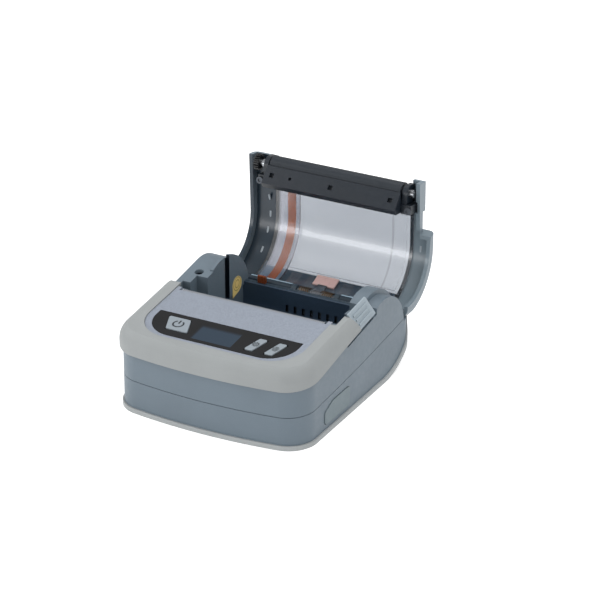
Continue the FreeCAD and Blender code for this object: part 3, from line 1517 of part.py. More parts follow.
def head_point(along, out):
    """A place in Y and Z from the line where the head meets the roller."""
    angle = math.radians(float(s.head_angle))
    reach = out - s.platen_radius - s.head_gap
    y = float(s.platen_y) + float(along) * math.cos(angle) + float(reach) * math.sin(angle)
    z = float(s.platen_z) - float(along) * math.sin(angle) + float(reach) * math.cos(angle)
    return (y, z)


def print_head():
    half = s.head_half_length
    up, down, thick = -s.head_up, s.head_down, -s.head_thickness
    shape = side_prism(-half, half, head_point(up, 0), to(*head_point(down, 0)), to(*head_point(down, thick)),
                       to(*head_point(up, thick)))
    return feature("print_head", shape)


def head_bracket():
    """The bent steel plate that stands on the bay's front wall and backs the head's springs."""
    half = s.bay_half_width - s.liner_side_gap
    face = -s.head_thickness - s.head_spring_length
    back = face - s.bracket_thickness
    rear = -s.deck_end_y + s.bay_wall - s.liner_side_gap
    front = rear - s.bracket_thickness
    angle = math.radians(float(s.head_angle))

    def height(y, out):
        origin = head_point(0, out)
        return origin[1] - (float(y) - origin[0]) * math.tan(angle)

    upper = -s.head_up - s.head_spring_radius
    shape = side_prism(-half, half, (front, s.bay_front_top_z), to(rear, s.bay_front_top_z),
                       to(rear, height(rear, face)), to(*head_point(upper, face)),
                       to(*head_point(upper, back)), to(front, height(front, back)))
    return feature("head_bracket", shape)


def biarc(start, start_way, end, end_way):
    """Two arcs that join two points in given directions."""
    reach = end - start
    ways = start_way + end_way
    spread = 2 * (1 - start_way.dot(end_way))
    bend = reach.dot(ways)
    size = (math.sqrt(bend ** 2 + spread * reach.dot(reach)) - bend) / spread
    middle = (start + end + (start_way - end_way) * size) * 0.5
    return [tangent_arc(start, start_way, middle), tangent_arc(end, -end_way, middle)]


def tangent_arc(start, way, end):
    chord = end - start
    unit = FreeCAD.Vector(chord).normalize()
    aside = (way - unit * way.dot(unit)).normalize()
    bend = math.acos(min(1.0, way.dot(unit)))
    middle = start + chord * 0.5 + aside * (chord.Length * math.tan(bend / 2) / 2)
    return Part.Arc(start, middle, end).toShape()


def coil_tube(frame, radius, pitch, quarters, wire, start_leg, end_leg):
    """One tube wound on a helix of quarter turns, with straight legs that leave it along its ends."""
    def place(quarter):
        turn = quarter * math.pi / 2
        spot = point(pitch * quarter / 4, float(radius) * math.cos(turn), float(radius) * math.sin(turn))
        way = FreeCAD.Vector(float(pitch) / 2 / math.pi, -float(radius) * math.sin(turn),
                             float(radius) * math.cos(turn)).normalize()
        return frame.multVec(spot), frame.Rotation.multVec(way)

    edges = []
    spots = [place(quarter) for quarter in range(quarters + 1)]
    first, last = spots[0], spots[-1]
    if start_leg:
        edges.append(Part.LineSegment(first[0] - first[1] * float(start_leg), first[0]).toShape())
    for (here, way), (there, next_way) in zip(spots, spots[1:]):
        arcs = biarc(here, way, there, next_way)
        edges.extend(arcs)
    if end_leg:
        edges.append(Part.LineSegment(last[0], last[0] + last[1] * float(end_leg)).toShape())
    path = Part.Wire(Part.__sortEdges__(edges))
    origin = first[0] - first[1] * float(start_leg)
    circle = Part.Wire(Part.makeCircle(float(wire) / 2, origin, first[1]))
    return path.makePipeShell([circle], True, False)


def turn_gap(radius, pitch, wire):
    """Least clear distance between turns, measured on points along the helix."""
    steps = 36
    spots = []
    for step in range(3 * steps):
        turn = 2 * math.pi * step / steps
        across, up = float(radius) * math.cos(turn), float(radius) * math.sin(turn)
        spots.append(point(pitch * step / steps, across, up))
    half_turn = steps // 2
    gaps = [(there - here).Length for n, here in enumerate(spots) for there in spots[n + half_turn:]]
    return min(gaps) - float(wire)


def hinge_springs():
    """Two torsion coils round the hinge pin, wound to opposite hands."""
    radius, pitch, wire = s.spring_coil_radius, s.spring_pitch, s.spring_wire
    case_leg = s.hinge_y - s.bay_rear_y - s.bay_rear_bar - s.running_gap
    quarters = 22
    turn = FreeCAD.Rotation(FreeCAD.Vector(0, 1, 1), HALF_TURN)
    frame = FreeCAD.Placement(point(-s.spring_inner_x, s.hinge_y, s.hinge_z), turn)
    left = coil_tube(frame, radius, pitch, quarters, wire, 2 * wire, case_leg)
    right = left.mirror(FreeCAD.Vector(0, 0, 0), FreeCAD.Vector(1, 0, 0))
    print("hinge spring: least gap between turns", round(turn_gap(radius, pitch, wire), 3))
    return feature("hinge_springs", Part.makeCompound([left, right]))


def head_springs():
    """Two small coils that press the head towards the roller."""
    wire = s.head_spring_wire
    radius = s.head_spring_radius
    quarters = 12
    pitch = (s.head_spring_length - wire - 2 * s.running_gap) * 4 / quarters
    tilt = math.radians(float(s.head_angle))
    turn = FreeCAD.Rotation(FreeCAD.Vector(1, 0, 0), FreeCAD.Vector(0, math.sin(tilt), math.cos(tilt)))
    shapes = []
    for side in (1, -1):
        y, z = head_point(-s.head_up / 2, -s.head_thickness - s.head_spring_length + wire / 2 + s.running_gap)
        frame = FreeCAD.Placement(point(side * s.head_spring_x, y, z), turn)
        shapes.append(coil_tube(frame, radius, pitch, quarters, wire, 0, 0))
    print("head spring: least gap between turns", round(turn_gap(radius, pitch, wire), 3))
    return feature("head_springs", Part.makeCompound(shapes))


def latch_spring():
    wire = s.latch_spring_wire
    radius = s.latch_spring_radius
    quarters = 24
    height = s.latch_stem_low_z - s.latch_shelf_z - wire - 2 * s.running_gap
    pitch = height * 4 / quarters
    turn = FreeCAD.Rotation(FreeCAD.Vector(1, 0, 0), FreeCAD.Vector(0, 0, 1))
    middle_y = s.latch_stem_front_y + s.latch_stem_length / 2
    spot = point(s.latch_inner_x + s.latch_top_width + s.latch_stem_depth / 2, middle_y,
                 s.latch_shelf_z + wire / 2 + s.running_gap)
    coil = coil_tube(FreeCAD.Placement(spot, turn), radius, pitch, quarters, wire, 0, 0)
    print("latch spring: least gap between turns", round(turn_gap(radius, pitch, wire), 3))
    return feature("latch_spring", coil)


LATCH_RIB_SHARES = {"down": (0.24, 0.5, 0.76), "inset": 0.12}


def latch():
    """The release slider at the right shoulder: a ribbed wedge on a stem."""
    inner, outer, top = s.latch_inner_x, s.latch_outer_x, s.latch_inner_x + s.latch_top_width

    def end_corners(high_y, high_z, low_y, low_z):
        return [point(inner, high_y, high_z), point(top, high_y, high_z), point(outer, low_y, low_z),
                point(inner, low_y, low_z)]

    front = end_corners(s.latch_front_top_y, s.latch_front_top_z, s.latch_front_low_y, s.latch_front_low_z)
    rear = end_corners(s.latch_rear_top_y, s.latch_rear_top_z, s.latch_rear_low_y, s.latch_rear_low_z)
    wires = [Part.makePolygon([*corners, corners[0]]) for corners in (front, rear)]
    body = Part.makeLoft(wires, True, True)
    face_out = point(s.latch_front_top_z - s.latch_front_low_z, 0, outer - top).normalize()
    rise = face_out * float(s.latch_rib_height)
    inset = LATCH_RIB_SHARES["inset"]
    ribs = []
    for down in LATCH_RIB_SHARES["down"]:
        near = front[1] + (front[2] - front[1]) * down
        distant = rear[1] + (rear[2] - rear[1]) * down
        start = near + (distant - near) * inset
        end = distant - (distant - near) * inset
        side = (end - start).cross(face_out).normalize() * float(s.latch_rib_width / 2)
        corners = [start + side - rise, end + side - rise, end - side - rise, start - side - rise]
        ribs.append(Part.Face(Part.makePolygon([*corners, corners[0]])).extrude(rise * 2))
    stem = block(top, top + s.latch_stem_depth, s.latch_stem_front_y,
                 s.latch_stem_front_y + s.latch_stem_length, s.latch_stem_low_z, s.latch_rear_low_z)
    return feature("latch", body.multiFuse([*ribs, stem]).removeSplitter())


def main_board():
    return box_part("main_board", (s.board_x, -s.board_front_y, s.board_low_z),
                    (s.board_x + s.board_thickness, -s.board_rear_y, s.board_high_z))


def sockets():
    """The two sockets behind the rubber cover: a flat data socket and a round power socket."""
    end = s.shell_half_width - s.port_cover_thickness - s.port_gap + s.port_cover_rise
    start = s.board_x + s.board_thickness
    half_w, half_h = s.usb_width / 2, s.usb_height / 2
    can = box_part("usb_can", (start, -s.usb_y - half_w, s.socket_z - half_h),
                   (end, -s.usb_y + half_w, s.socket_z + half_h), False)
    wall = s.usb_wall
    mouth = box_part("usb_mouth", (start + wall, -s.usb_y - half_w + wall, s.socket_z - half_h + wall),
                     (end + wall, -s.usb_y + half_w - wall, s.socket_z + half_h - wall), False)
    shell = cut_part("usb_shell", can, mouth, False)
    tongue = box_part("usb_tongue", (start, -s.usb_y - half_w + 3 * wall, s.socket_z - wall),
                      (end - 2 * wall, -s.usb_y + half_w - 3 * wall, s.socket_z + wall), False)
    fuse_part("usb_socket", [shell, tongue])
    half = s.jack_size / 2
    body = box_part("jack_body", (start, -s.jack_y - half, s.socket_z - half),
                    (end, -s.jack_y + half, s.socket_z + half), False)
    bore = rod_part("jack_bore", s.jack_bore, (end - s.jack_depth, -s.jack_y, s.socket_z),
                    s.jack_depth + s.wall, "x", False)
    socket = cut_part("jack_shell", body, bore, False)
    pin = rod_part("jack_pin", s.jack_pin_radius, (start, -s.jack_y, s.socket_z),
                   end - start - s.jack_pin_radius, "x", False)
    fuse_part("power_socket", [socket, pin])


def port_cover():
    """The rubber flap over the sockets."""
    outer = half_x + s.port_cover_rise
    shape = rounded_prism(outer - s.port_cover_thickness, outer, port_outline(0), s.ring_height - s.port_gap)
    return feature("port_cover", shape)


def screw_seat(y):
    """Height of the ledge under a case screw's head."""
    return boss_floor(y) + s.floor_thickness + s.screw_head_height


def screw_top():
    """How high the case screws reach into the upper shell's bosses."""
    return s.parting_rear_z + s.screw_reach


def case_screws():
    shapes = []
    for x, y in boss_places():
        seat = screw_seat(y)
        head = rod(s.screw_head_radius, point(x, y, seat - s.screw_head_height), point(x, y, seat))
        shank = rod(s.screw_radius, point(x, y, seat - s.screw_head_height), point(x, y, screw_top()))
        recess = rod(s.screw_head_radius / 2, point(x, y, seat - s.screw_head_height),
                     point(x, y, seat - s.screw_head_height / 2))
        shapes.append(head.fuse(shank).removeSplitter().cut(recess))
    return feature("case_screws", Part.makeCompound(shapes))


def board_screws():
    """The four screws that hold the button board under the deck."""
    shapes = []
    low = -s.switch_board_drop - s.switch_board_thickness
    for x, y in switch_board_posts():
        head = rod(s.screw_radius, point(x, along_deck(y), low - s.screw_head_height / 2),
                   point(x, along_deck(y), low))
        shank = rod(s.screw_radius / 2, point(x, along_deck(y), low),
                    point(x, along_deck(y), low + s.switch_board_thickness))
        shapes.append(head.fuse(shank))
    return feature("board_screws", Part.makeCompound(shapes), deck_placement())


def hinge_pin():
    start = (-s.pin_half_length, s.hinge_y, s.hinge_z)
    return rod_part("hinge_pin", s.pin_radius, start, 2 * s.pin_half_length, "x")


def lid_under(left, right, radius, front):
    """Everything under the lid's sloping line and arc, from a front plane round to the tail."""
    centre = (float(s.roll_centre_y), float(s.roll_centre_z))
    low_angle = s.lid_tail_angle
    touch = tangent_top(radius, s.lid_slope)
    middle = on_circle(radius, (HALF_TURN / 2 + float(s.lid_slope) + float(low_angle)) / 2)
    return side_prism(left, right, (front, centre[1]), to(front, line_height(radius, s.lid_slope, front)),
                      to(*touch), arc(middle, on_circle(radius, low_angle)), to(*centre))


def rounded_lid_block(left, right, front):
    """A lid block whose two long outer edges are rounded."""
    solid = lid_under(left, right, s.lid_radius, front)
    rims = []
    for edge in solid.Edges:
        parameter = (edge.FirstParameter + edge.LastParameter) / 2
        middle = edge.valueAt(parameter)
        span = math.hypot(middle.y - float(s.roll_centre_y), middle.z - float(s.roll_centre_z))
        on_top = span > float(s.lid_radius) - float(s.running_gap)
        level = abs(edge.tangentAt(parameter).x) < 0.5
        upright = abs(middle.y - float(front)) < float(s.running_gap)
        if on_top and level and not upright:
            rims.append(edge)
    return solid.makeFillet(float(s.lid_edge_round), rims)


def step_solid(back):
    """Everything behind the leaning plane where the lid widens on the right."""
    lean = s.lid_step_lean
    high = top_z
    low = s.roll_centre_z - s.wall
    crest = s.lid_radius + s.roll_centre_z
    start = s.hump_front_y + back
    rear = s.shell_rear_reach + far
    return side_prism(s.latch_inner_x - s.wall * 2, half_x + far, (start + (crest - high) * lean, high),
                      to(start + (crest - low) * lean, low), to(rear, low), to(rear, high))


def lid_seat(left, right, radius, slope):
    """Everything under the case's shoulder line, which the lid's flanges clear."""
    touch = tangent_top(radius, slope)
    front = -s.deck_end_y - far
    return side_prism(left, right, (front, -far), to(front, line_height(radius, slope, front)), to(*touch),
                      arc(on_circle(radius, 45), on_circle(radius, 0)),
                      to(s.roll_centre_y + radius, -far))


def lid_window_opening(shrink, outer, inner, end_angle):
    """A band of the lid between two radii, over the window's opening shrunk by a margin."""
    low_angle = float(end_angle) + math.degrees(float(shrink) / float(s.lid_radius))
    left, right = -s.lid_window_left_x + shrink, s.lid_window_right_x - shrink
    front = s.lid_window_front_y + shrink
    centre = (float(s.roll_centre_y), float(s.roll_centre_z))
    turn = math.radians(float(low_angle))
    reach = 2 * float(s.lid_radius)
    wedge = side_prism(left, right, (front, top_z), to(front, centre[1]), to(*centre),
                       to(centre[0] + reach * math.cos(turn), centre[1] + reach * math.sin(turn)),
                       to(centre[0] + reach, top_z))
    band = lid_under(left, right, outer, -far).cut(lid_under(left, right, inner, -far))
    return band.common(wedge)


def foot_places():
    return [(side * s.foot_x, s.foot_y) for side in (1, -1)]


def lid_shell():
    """The lid: a curved skin with side flanges, barrels for the hinge pin and an opening for the window."""
    gap = s.lid_seat_gap
    thick = s.lid_thickness
    inner_radius = s.lid_radius - thick
    rear_block = block(-half_x - far, half_x + far, s.hump_front_y, s.shell_rear_reach + far, -far, top_z)
    wide = rounded_lid_block(-half_x, half_x, -s.lid_left_front_y).common(step_solid(0))
    narrow = rounded_lid_block(-half_x, s.lid_narrow_x, -s.lid_left_front_y)
    filler = lid_under(0, s.lid_narrow_x, s.lid_radius, s.hump_front_y)
    filler = filler.common(step_solid(0)).common(rear_block)
    toe = lid_under(s.lid_throat_right_x, s.lid_narrow_x, s.lid_radius, -s.lid_right_front_y)
    toe = toe.cut(block(-half_x, half_x + far, s.foot_rear_y, far * 2 + half_x, -far, top_z))
    outer = narrow.multiFuse([wide, filler, toe]).common(plan_prism(0, -far, top_z))
    seat_left = lid_seat(-half_x - far, s.lid_narrow_x, s.shoulder_radius + gap, s.shoulder_slope)
    seat_right = lid_seat(s.right_hump_edge_x + gap, half_x + far, s.cheek_radius + gap, 0)
    seat_right = seat_right.common(step_solid(-s.wall))
    body = outer.cut(seat_left).cut(seat_right)
    void = lid_under(-half_x + thick, s.lid_narrow_x - thick, inner_radius, -far)
    void_left = s.lid_narrow_x - 2 * thick
    wide_void = lid_under(void_left, half_x - thick, inner_radius, -far).common(step_solid(thick))
    hump_void = lid_under(void_left, s.right_hump_edge_x + gap, inner_radius, s.hump_front_y - gap)
    body = body.cut(void).cut(wide_void).cut(hump_void)
    throat = block(-s.lid_throat_left_x, s.lid_throat_right_x, -far, s.lid_throat_y, -far, top_z)
    opening = lid_window_opening(0, s.lid_radius + thick, inner_radius - thick, s.lid_window_end_angle)
    body = body.cut(throat).cut(opening)
    room = s.barrel_radius + s.moving_gap
    span = s.barrel_inner_x - s.moving_gap
    body = body.cut(rod(room, point(-span, s.hinge_y, s.hinge_z), point(span, s.hinge_y, s.hinge_z)))
    barrels = []
    for side in (1, -1):
        barrels.append(rod(s.barrel_radius, point(side * s.barrel_inner_x, s.hinge_y, s.hinge_z),
                           point(side * s.barrel_half_width, s.hinge_y, s.hinge_z)))
    feet = []
    for side in (1, -1):
        low, high = sorted((side * s.foot_x - s.end_foot_width / 2, side * s.foot_x + s.end_foot_width / 2),
                           key=float)
        foot = block(low, high, s.foot_front_y, s.foot_rear_y, s.foot_low_z, top_z)
        feet.append(foot.common(lid_under(low, high, s.lid_radius - thick / 2, -far)))
    body = body.multiFuse([*barrels, *feet])
    reach = s.pin_half_length + s.port_gap
    body = body.cut(rod(s.pin_radius + s.running_gap, point(-reach, s.hinge_y, s.hinge_z),
                        point(reach, s.hinge_y, s.hinge_z)))
    for side in (1, -1):
        low, high = sorted((side * s.barrel_half_width, side * (half_x + far)), key=float)
        relief = block(low, high, s.bay_rear_y, s.shell_rear_reach + s.port_gap, -far, s.rear_sill_z + gap)
        relief.Placement = lid_placement().inverse().multiply(relief.Placement)
        body = body.cut(relief)
    for x, y in foot_places():
        body = body.cut(rod(s.axle_radius, point(x, y, -far), point(x, y, s.foot_top_z)))
    return feature("lid_shell", body.removeSplitter(), lid_placement())


def lid_window():
    """The clear window: a plug in the lid's opening, a lip inside it, and a skin down to the hinge tab."""
    gap = s.window_gap
    inner = s.lid_radius - s.lid_thickness
    lip_inner = inner - s.lid_window_lip_depth
    end_angle = s.lid_window_end_angle
    plug = lid_window_opening(gap, s.lid_radius, lip_inner, end_angle)
    lip = lid_window_opening(-s.lid_window_lip, inner - s.running_gap, lip_inner, s.lid_insert_end_angle)
    room = lid_window_opening(s.lid_window_lip, s.lid_radius - s.lid_window_thickness,
                              lip_inner - s.lid_thickness, end_angle)
    cover_gap = s.port_gap
    notch_left = -s.cover_left_x - cover_gap
    notch = block(notch_left, notch_left + s.cover_width + 2 * cover_gap, s.lid_window_front_y - far,
                  s.shell_rear_reach + far, -far, top_z)
    notch = notch.common(lid_under(-half_x, half_x, s.lid_radius - s.lid_window_thickness, -far))
    tab = hinge_tab()
    shape = plug.fuse(lip).cut(room).cut(notch).fuse(tab)
    return feature("lid_window", shape.removeSplitter(), lid_placement())


def hinge_tab():
    """The clear tab in the middle that clips round the hinge pin."""
    half = s.hinge_tab_half
    axis_low, axis_high = point(-half, s.hinge_y, s.hinge_z), point(half, s.hinge_y, s.hinge_z)
    ring = rod(s.hinge_tab_radius, axis_low, axis_high)
    end_angle = s.lid_insert_end_angle + s.lid_tail_angle
    end = on_circle(s.lid_radius - s.lid_thickness, end_angle)
    near = on_circle(s.lid_radius - s.lid_window_lip_depth, end_angle)
    arm = side_prism(-half, half, (s.hinge_y - s.hinge_tab_radius / 2, s.hinge_z),
                     to(end[0] - float(s.wall), end[1]), to(*near), to(near[0], float(s.hinge_z)))
    arm = arm.common(lid_under(-half_x, half_x, s.lid_radius - s.lid_thickness - s.running_gap, -far))
    return ring.fuse(arm).cut(rod(s.pin_radius + s.running_gap, axis_low, axis_high))


def ribbon_band(left, width, outer, thickness, front_y, low_angle):
    """A strip that follows the lid's inner face."""
    right = left + width
    band = lid_under(left, right, outer, front_y).cut(lid_under(left, right, outer - thickness, -far))
    centre = (float(s.roll_centre_y), float(s.roll_centre_z))
    turn = math.radians(float(low_angle))
    reach = 2 * float(s.lid_radius)
    limit = (centre[0] + reach * math.cos(turn), centre[1] + reach * math.sin(turn))
    low_side = side_prism(left, right, centre, to(*limit), to(centre[0] + reach, -far), to(centre[0], -far))
    return band.cut(low_side)


def lid_ribbon():
    outer = s.lid_radius - s.lid_thickness - s.running_gap
    shape = ribbon_band(-s.ribbon_left_x, s.ribbon_width, outer, s.ribbon_thickness,
                        s.bar_back_y + s.running_gap, s.ribbon_end_angle)
    return feature("lid_ribbon", shape, lid_placement())


def ribbon_cover():
    outer = s.lid_radius - s.lid_thickness - s.running_gap - s.ribbon_thickness - s.running_gap
    shape = ribbon_band(-s.cover_left_x, s.cover_width, outer, s.cover_thickness, s.lid_window_front_y,
                        s.ribbon_end_angle)
    return feature("ribbon_cover", shape, lid_placement())


def lid_pad():
    """The label pad on the window's skin, over the hinge."""
    outer = s.lid_radius - s.lid_thickness - s.lid_window_lip_depth - s.running_gap
    band = ribbon_band(-s.pad_half_width, 2 * s.pad_half_width, outer, s.pad_thickness, s.lid_window_front_y,
                       s.pad_start_angle)
    centre = (float(s.roll_centre_y), float(s.roll_centre_z))
    turn = math.radians(float(s.pad_end_angle))
    reach = 2 * float(s.lid_radius)
    above = side_prism(-half_x, half_x, centre,
                       to(centre[0] + reach * math.cos(turn), centre[1] + reach * math.sin(turn)),
                       to(centre[0], centre[1] + reach), to(centre[0] - reach, centre[1] + reach),
                       to(centre[0] - reach, centre[1]))
    return feature("lid_pad", band.cut(above), lid_placement())


SENSOR_SHARES = {"wide": (-0.886, 0.0, 0.886), "small": -0.61, "board": 0.85}


def sensor_bar():
    """The black bar behind the roller, hollow for its board, with windows in the face over the paper."""
    half = s.bar_half_length
    inner = s.lid_radius - s.lid_thickness - s.running_gap
    front, low, back = (s.bar_front_y, s.bar_front_z), (s.bar_low_y, s.bar_low_z), s.bar_back_y
    bar = side_prism(-half, half, front, to(*low), to(back, low[1] + s.wall), to(back, top_z),
                     to(back - s.platen_radius + s.running_gap, top_z), to(s.platen_y, s.platen_z))
    roller = rod(s.platen_radius + s.bar_roller_gap, point(-half_x, s.platen_y, s.platen_z),
                 point(half_x, s.platen_y, s.platen_z))
    bar = bar.cut(roller).common(lid_under(-half_x, half_x, inner, -far))
    room_half = half * SENSOR_SHARES["board"] + s.wall
    room = block(-room_half, room_half, s.bar_low_y, back - s.bar_window_depth / 2, s.bar_front_z, top_z)
    bar = bar.cut(room)
    face = point(0, low[0] - front[0], low[1] - front[1])
    middle = point(0, front[0], front[1]) + face * 0.5
    along = FreeCAD.Vector(face).normalize()
    inward = FreeCAD.Vector(1, 0, 0).cross(along).normalize()
    if inward.z < 0:
        inward = -inward
    places = [(share, s.bar_window) for share in SENSOR_SHARES["wide"]]
    places.append((SENSOR_SHARES["small"], s.bar_window_depth))
    for share, size in places:
        centre = middle + point(half * share, 0, 0)
        across = FreeCAD.Vector(1, 0, 0) * float(size / 2)
        up = along * float(size / 2)
        sunk = inward * float(s.bar_window_depth)
        corners = [centre + across + up - sunk, centre - across + up - sunk, centre - across - up - sunk,
                   centre + across - up - sunk]
        bar = bar.cut(Part.Face(Part.makePolygon([*corners, corners[0]])).extrude(sunk * 2))
    return feature("sensor_bar", bar.removeSplitter(), lid_placement())


def sensor_board():
    half = s.bar_half_length * SENSOR_SHARES["board"]
    low = s.bar_front_z + s.port_gap
    start = s.bar_low_y + s.port_gap
    shape = block(-half, half, start, start + s.gear_plate_thickness, low, low + s.bar_back_y)
    return feature("sensor_board", shape, lid_placement())


def roller_cheeks():
    """The two plates that hold the roller's bushes, screwed to the feet inside the lid."""
    inner = s.lid_radius - s.lid_thickness - s.running_gap
    shapes = []
    near = s.bar_half_length + s.running_gap * 4
    reach = s.foot_x - s.end_foot_width / 2
    for side in (1, -1):
        low, high = sorted((side * near, side * (reach - s.running_gap)), key=float)
        plate = side_prism(low, high, (s.platen_y, s.platen_z - s.end_cheek_round),
                           to(s.foot_rear_y, s.foot_low_z), to(s.foot_rear_y, top_z),
                           to(s.platen_y - s.end_cheek_round / 2, top_z),
                           to(s.platen_y - s.end_cheek_round, s.platen_z))
        disc = rod(s.end_cheek_round, point(low, s.platen_y, s.platen_z), point(high, s.platen_y, s.platen_z))
        low_foot, high_foot = sorted((side * near, side * (s.foot_x + s.end_foot_width / 2)), key=float)
        ear = block(low_foot, high_foot, s.foot_front_y, s.foot_rear_y, s.foot_low_z - s.gear_plate_thickness,
                    s.foot_low_z)
        plate = plate.fuse(disc).common(lid_under(-half_x, half_x, inner, -far)).fuse(ear)
        plate = plate.cut(rod(s.bush_radius, point(low, s.platen_y, s.platen_z),
                              point(high, s.platen_y, s.platen_z)))
        plate = plate.cut(rod(s.axle_radius + s.bore_gap, point(side * s.foot_x, s.foot_y, -far),
                              point(side * s.foot_x, s.foot_y, top_z)))
        shapes.append(plate.removeSplitter())
    return feature("roller_cheeks", Part.makeCompound(shapes), lid_placement())


def platen_bushes():
    near = s.bar_half_length + s.running_gap * 4
    reach = half_x - s.bush_inset
    shapes = []
    for side in (1, -1):
        low = point(side * near, s.platen_y, s.platen_z)
        high = point(side * reach, s.platen_y, s.platen_z)
        bore = rod(s.platen_shaft_radius + s.running_gap, low, high)
        shapes.append(rod(s.bush_radius, low, high).cut(bore))
    return feature("platen_bushes", Part.makeCompound(shapes), lid_placement())


def lid_screws():
    shapes = []
    top = s.foot_low_z - s.gear_plate_thickness
    for x, y in foot_places():
        head = rod(s.axle_radius * 2, point(x, y, top - s.gear_plate_thickness), point(x, y, top))
        shank = rod(s.axle_radius, point(x, y, top), point(x, y, s.foot_top_z))
        slot = rod(s.axle_radius, point(x, y, top - s.gear_plate_thickness),
                   point(x, y, top - s.gear_plate_thickness / 2))
        shapes.append(head.fuse(shank).removeSplitter().cut(slot))
    return feature("lid_screws", Part.makeCompound(shapes), lid_placement())


def platen_pieces():
    """The rubber roller, its shaft and its gear."""
    left, right = -s.platen_half_length, s.platen_half_length
    axis = platen_place()
    rubber = rod(s.platen_radius, point(left, *axis), point(right, *axis))
    rubber = rubber.cut(rod(s.platen_shaft_radius, point(left, *axis), point(right, *axis)))
    feature("platen_rubber", rubber, lid_placement())
    shaft = rod(s.platen_shaft_radius, point(-s.platen_shaft_left_x, *axis),
                point(s.platen_shaft_right_x, *axis))
    feature("platen_shaft", shaft, lid_placement())
    gear = gear_solid("platen", axis, gear_phases()["platen"], s.platen_shaft_radius)
    feature("platen_gear", gear, lid_placement())


def check_sticker():
    """The small drop-shaped sticker on the wall of the bay."""
    left = -s.bay_half_width
    right = left + s.sticker_thickness
    centre = (float(s.sticker_y), float(s.sticker_z))
    turn = float(s.sticker_turn)
    spread = math.degrees(math.acos(float(s.sticker_radius / s.sticker_tip)))
    tip = on_circle(s.sticker_tip, turn, *centre)
    side = on_circle(s.sticker_radius, turn + spread, *centre)
    other = on_circle(s.sticker_radius, turn - spread, *centre)
    crown = on_circle(s.sticker_radius, turn + HALF_TURN, *centre)
    shape = side_prism(left, right, tip, to(*side), arc(crown, other))
    return feature("check_sticker", shape)


def ribbon_loop():
    """The red-brown ribbon that leaves the case by the hinge, bent over the rear bar."""
    left = -s.ribbon_left_x
    low = (s.bay_rear_y + s.ribbon_thickness, s.bay_rear_top_z + s.running_gap)
    width = s.bay_rear_bar - 2 * s.ribbon_thickness

    def bow(inset):
        half = width / 2 - inset
        near, distant = low[0] + inset, low[0] + width - inset
        bend_z = low[1] + s.ribbon_loop_height - width / 2
        crest = (near + half, bend_z + half)
        return side_prism(left, left + s.ribbon_width, (near, low[1]), to(near, bend_z),
                          arc(crest, (distant, bend_z)), to(distant, low[1]))

    return feature("ribbon_loop", bow(0).cut(bow(s.ribbon_thickness)))


def build_all():
    lower_shell()
    upper_shell()
    front_bumper()
    bottom_ring()
    control_panel()
    panel_window()
    display_module()
    for kind in ("power", "settings", "feed"):
        push_button(kind)
    push_switches()
    switch_board()
    board_screws()
    tear_bar()
    paper_tub()
    print_head()
    head_bracket()
    head_springs()
    drive_gears()
    gear_plate()
    gear_axles()
    stepper_motor()
    motor_shaft()
    battery_door()
    battery_pack()
    main_board()
    sockets()
    port_cover()
    case_screws()
    latch()
    latch_spring()
    hinge_pin()
    hinge_springs()
    check_sticker()
    ribbon_loop()
    lid_shell()
    lid_window()
    lid_ribbon()
    ribbon_cover()
    lid_pad()
    sensor_bar()
    sensor_board()
    roller_cheeks()
    platen_bushes()
    lid_screws()
    platen_pieces()


build_all()
doc.recompute()
for item in doc.Objects:
    if "Invalid" in item.State or "Error" in item.State:
        raise ValueError(f"{item.Name} is in state {item.State}")
os.makedirs("parts", exist_ok=True)
for node in NODES:
    shape = node.Shape
    if shape.isNull() or not shape.isValid() or not shape.Solids:
        raise ValueError(f"{node.Label} has no good solid")
    if min(solid.Volume for solid in shape.Solids) <= 0:
        raise ValueError(f"{node.Label} has a solid of no volume")
    shape.exportStep(f"parts/{node.Label}.step")
    print(node.Label, len(shape.Solids), round(shape.Volume, 1))
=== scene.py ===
import math

import bmesh
import bpy
from mathutils import Matrix, Vector


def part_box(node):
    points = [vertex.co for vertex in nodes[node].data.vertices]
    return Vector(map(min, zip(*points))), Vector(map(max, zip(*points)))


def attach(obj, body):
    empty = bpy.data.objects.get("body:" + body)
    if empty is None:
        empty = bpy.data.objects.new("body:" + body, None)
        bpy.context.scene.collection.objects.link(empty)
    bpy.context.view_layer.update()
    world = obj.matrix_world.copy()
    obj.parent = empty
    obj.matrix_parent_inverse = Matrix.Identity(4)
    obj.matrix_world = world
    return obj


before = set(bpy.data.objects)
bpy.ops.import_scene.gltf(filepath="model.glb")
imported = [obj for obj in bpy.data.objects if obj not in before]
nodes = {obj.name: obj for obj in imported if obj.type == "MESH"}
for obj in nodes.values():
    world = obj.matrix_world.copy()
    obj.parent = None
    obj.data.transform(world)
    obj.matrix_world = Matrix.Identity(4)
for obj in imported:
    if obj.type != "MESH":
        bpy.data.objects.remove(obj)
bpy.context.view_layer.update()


# Noise scales, in waves per metre, and the part of a noise's range that colours and gloss use

CLOUD_SCALE = 38
GRAIN_SCALE = 2600
RUBBER_GRAIN_SCALE = 2000
SHEEN_SCALE = 420
FILM_SHEEN_SCALE = 700
NOISE_RANGE = (0.3, 0.7)
WHITE = (1, 1, 1, 1)


def linear(code):
    """The linear colour of a hex code."""
    parts = [int(code[i:i + 2], 16) / 255 for i in (0, 2, 4)]
    return [c / 12.92 if c <= 0.04045 else ((c + 0.055) / 1.055) ** 2.4 for c in parts]


def solid(code):
    return linear(code) + [1]


def scaled(colour, factor):
    return [min(1.0, c * factor) for c in colour[:3]] + [1.0]


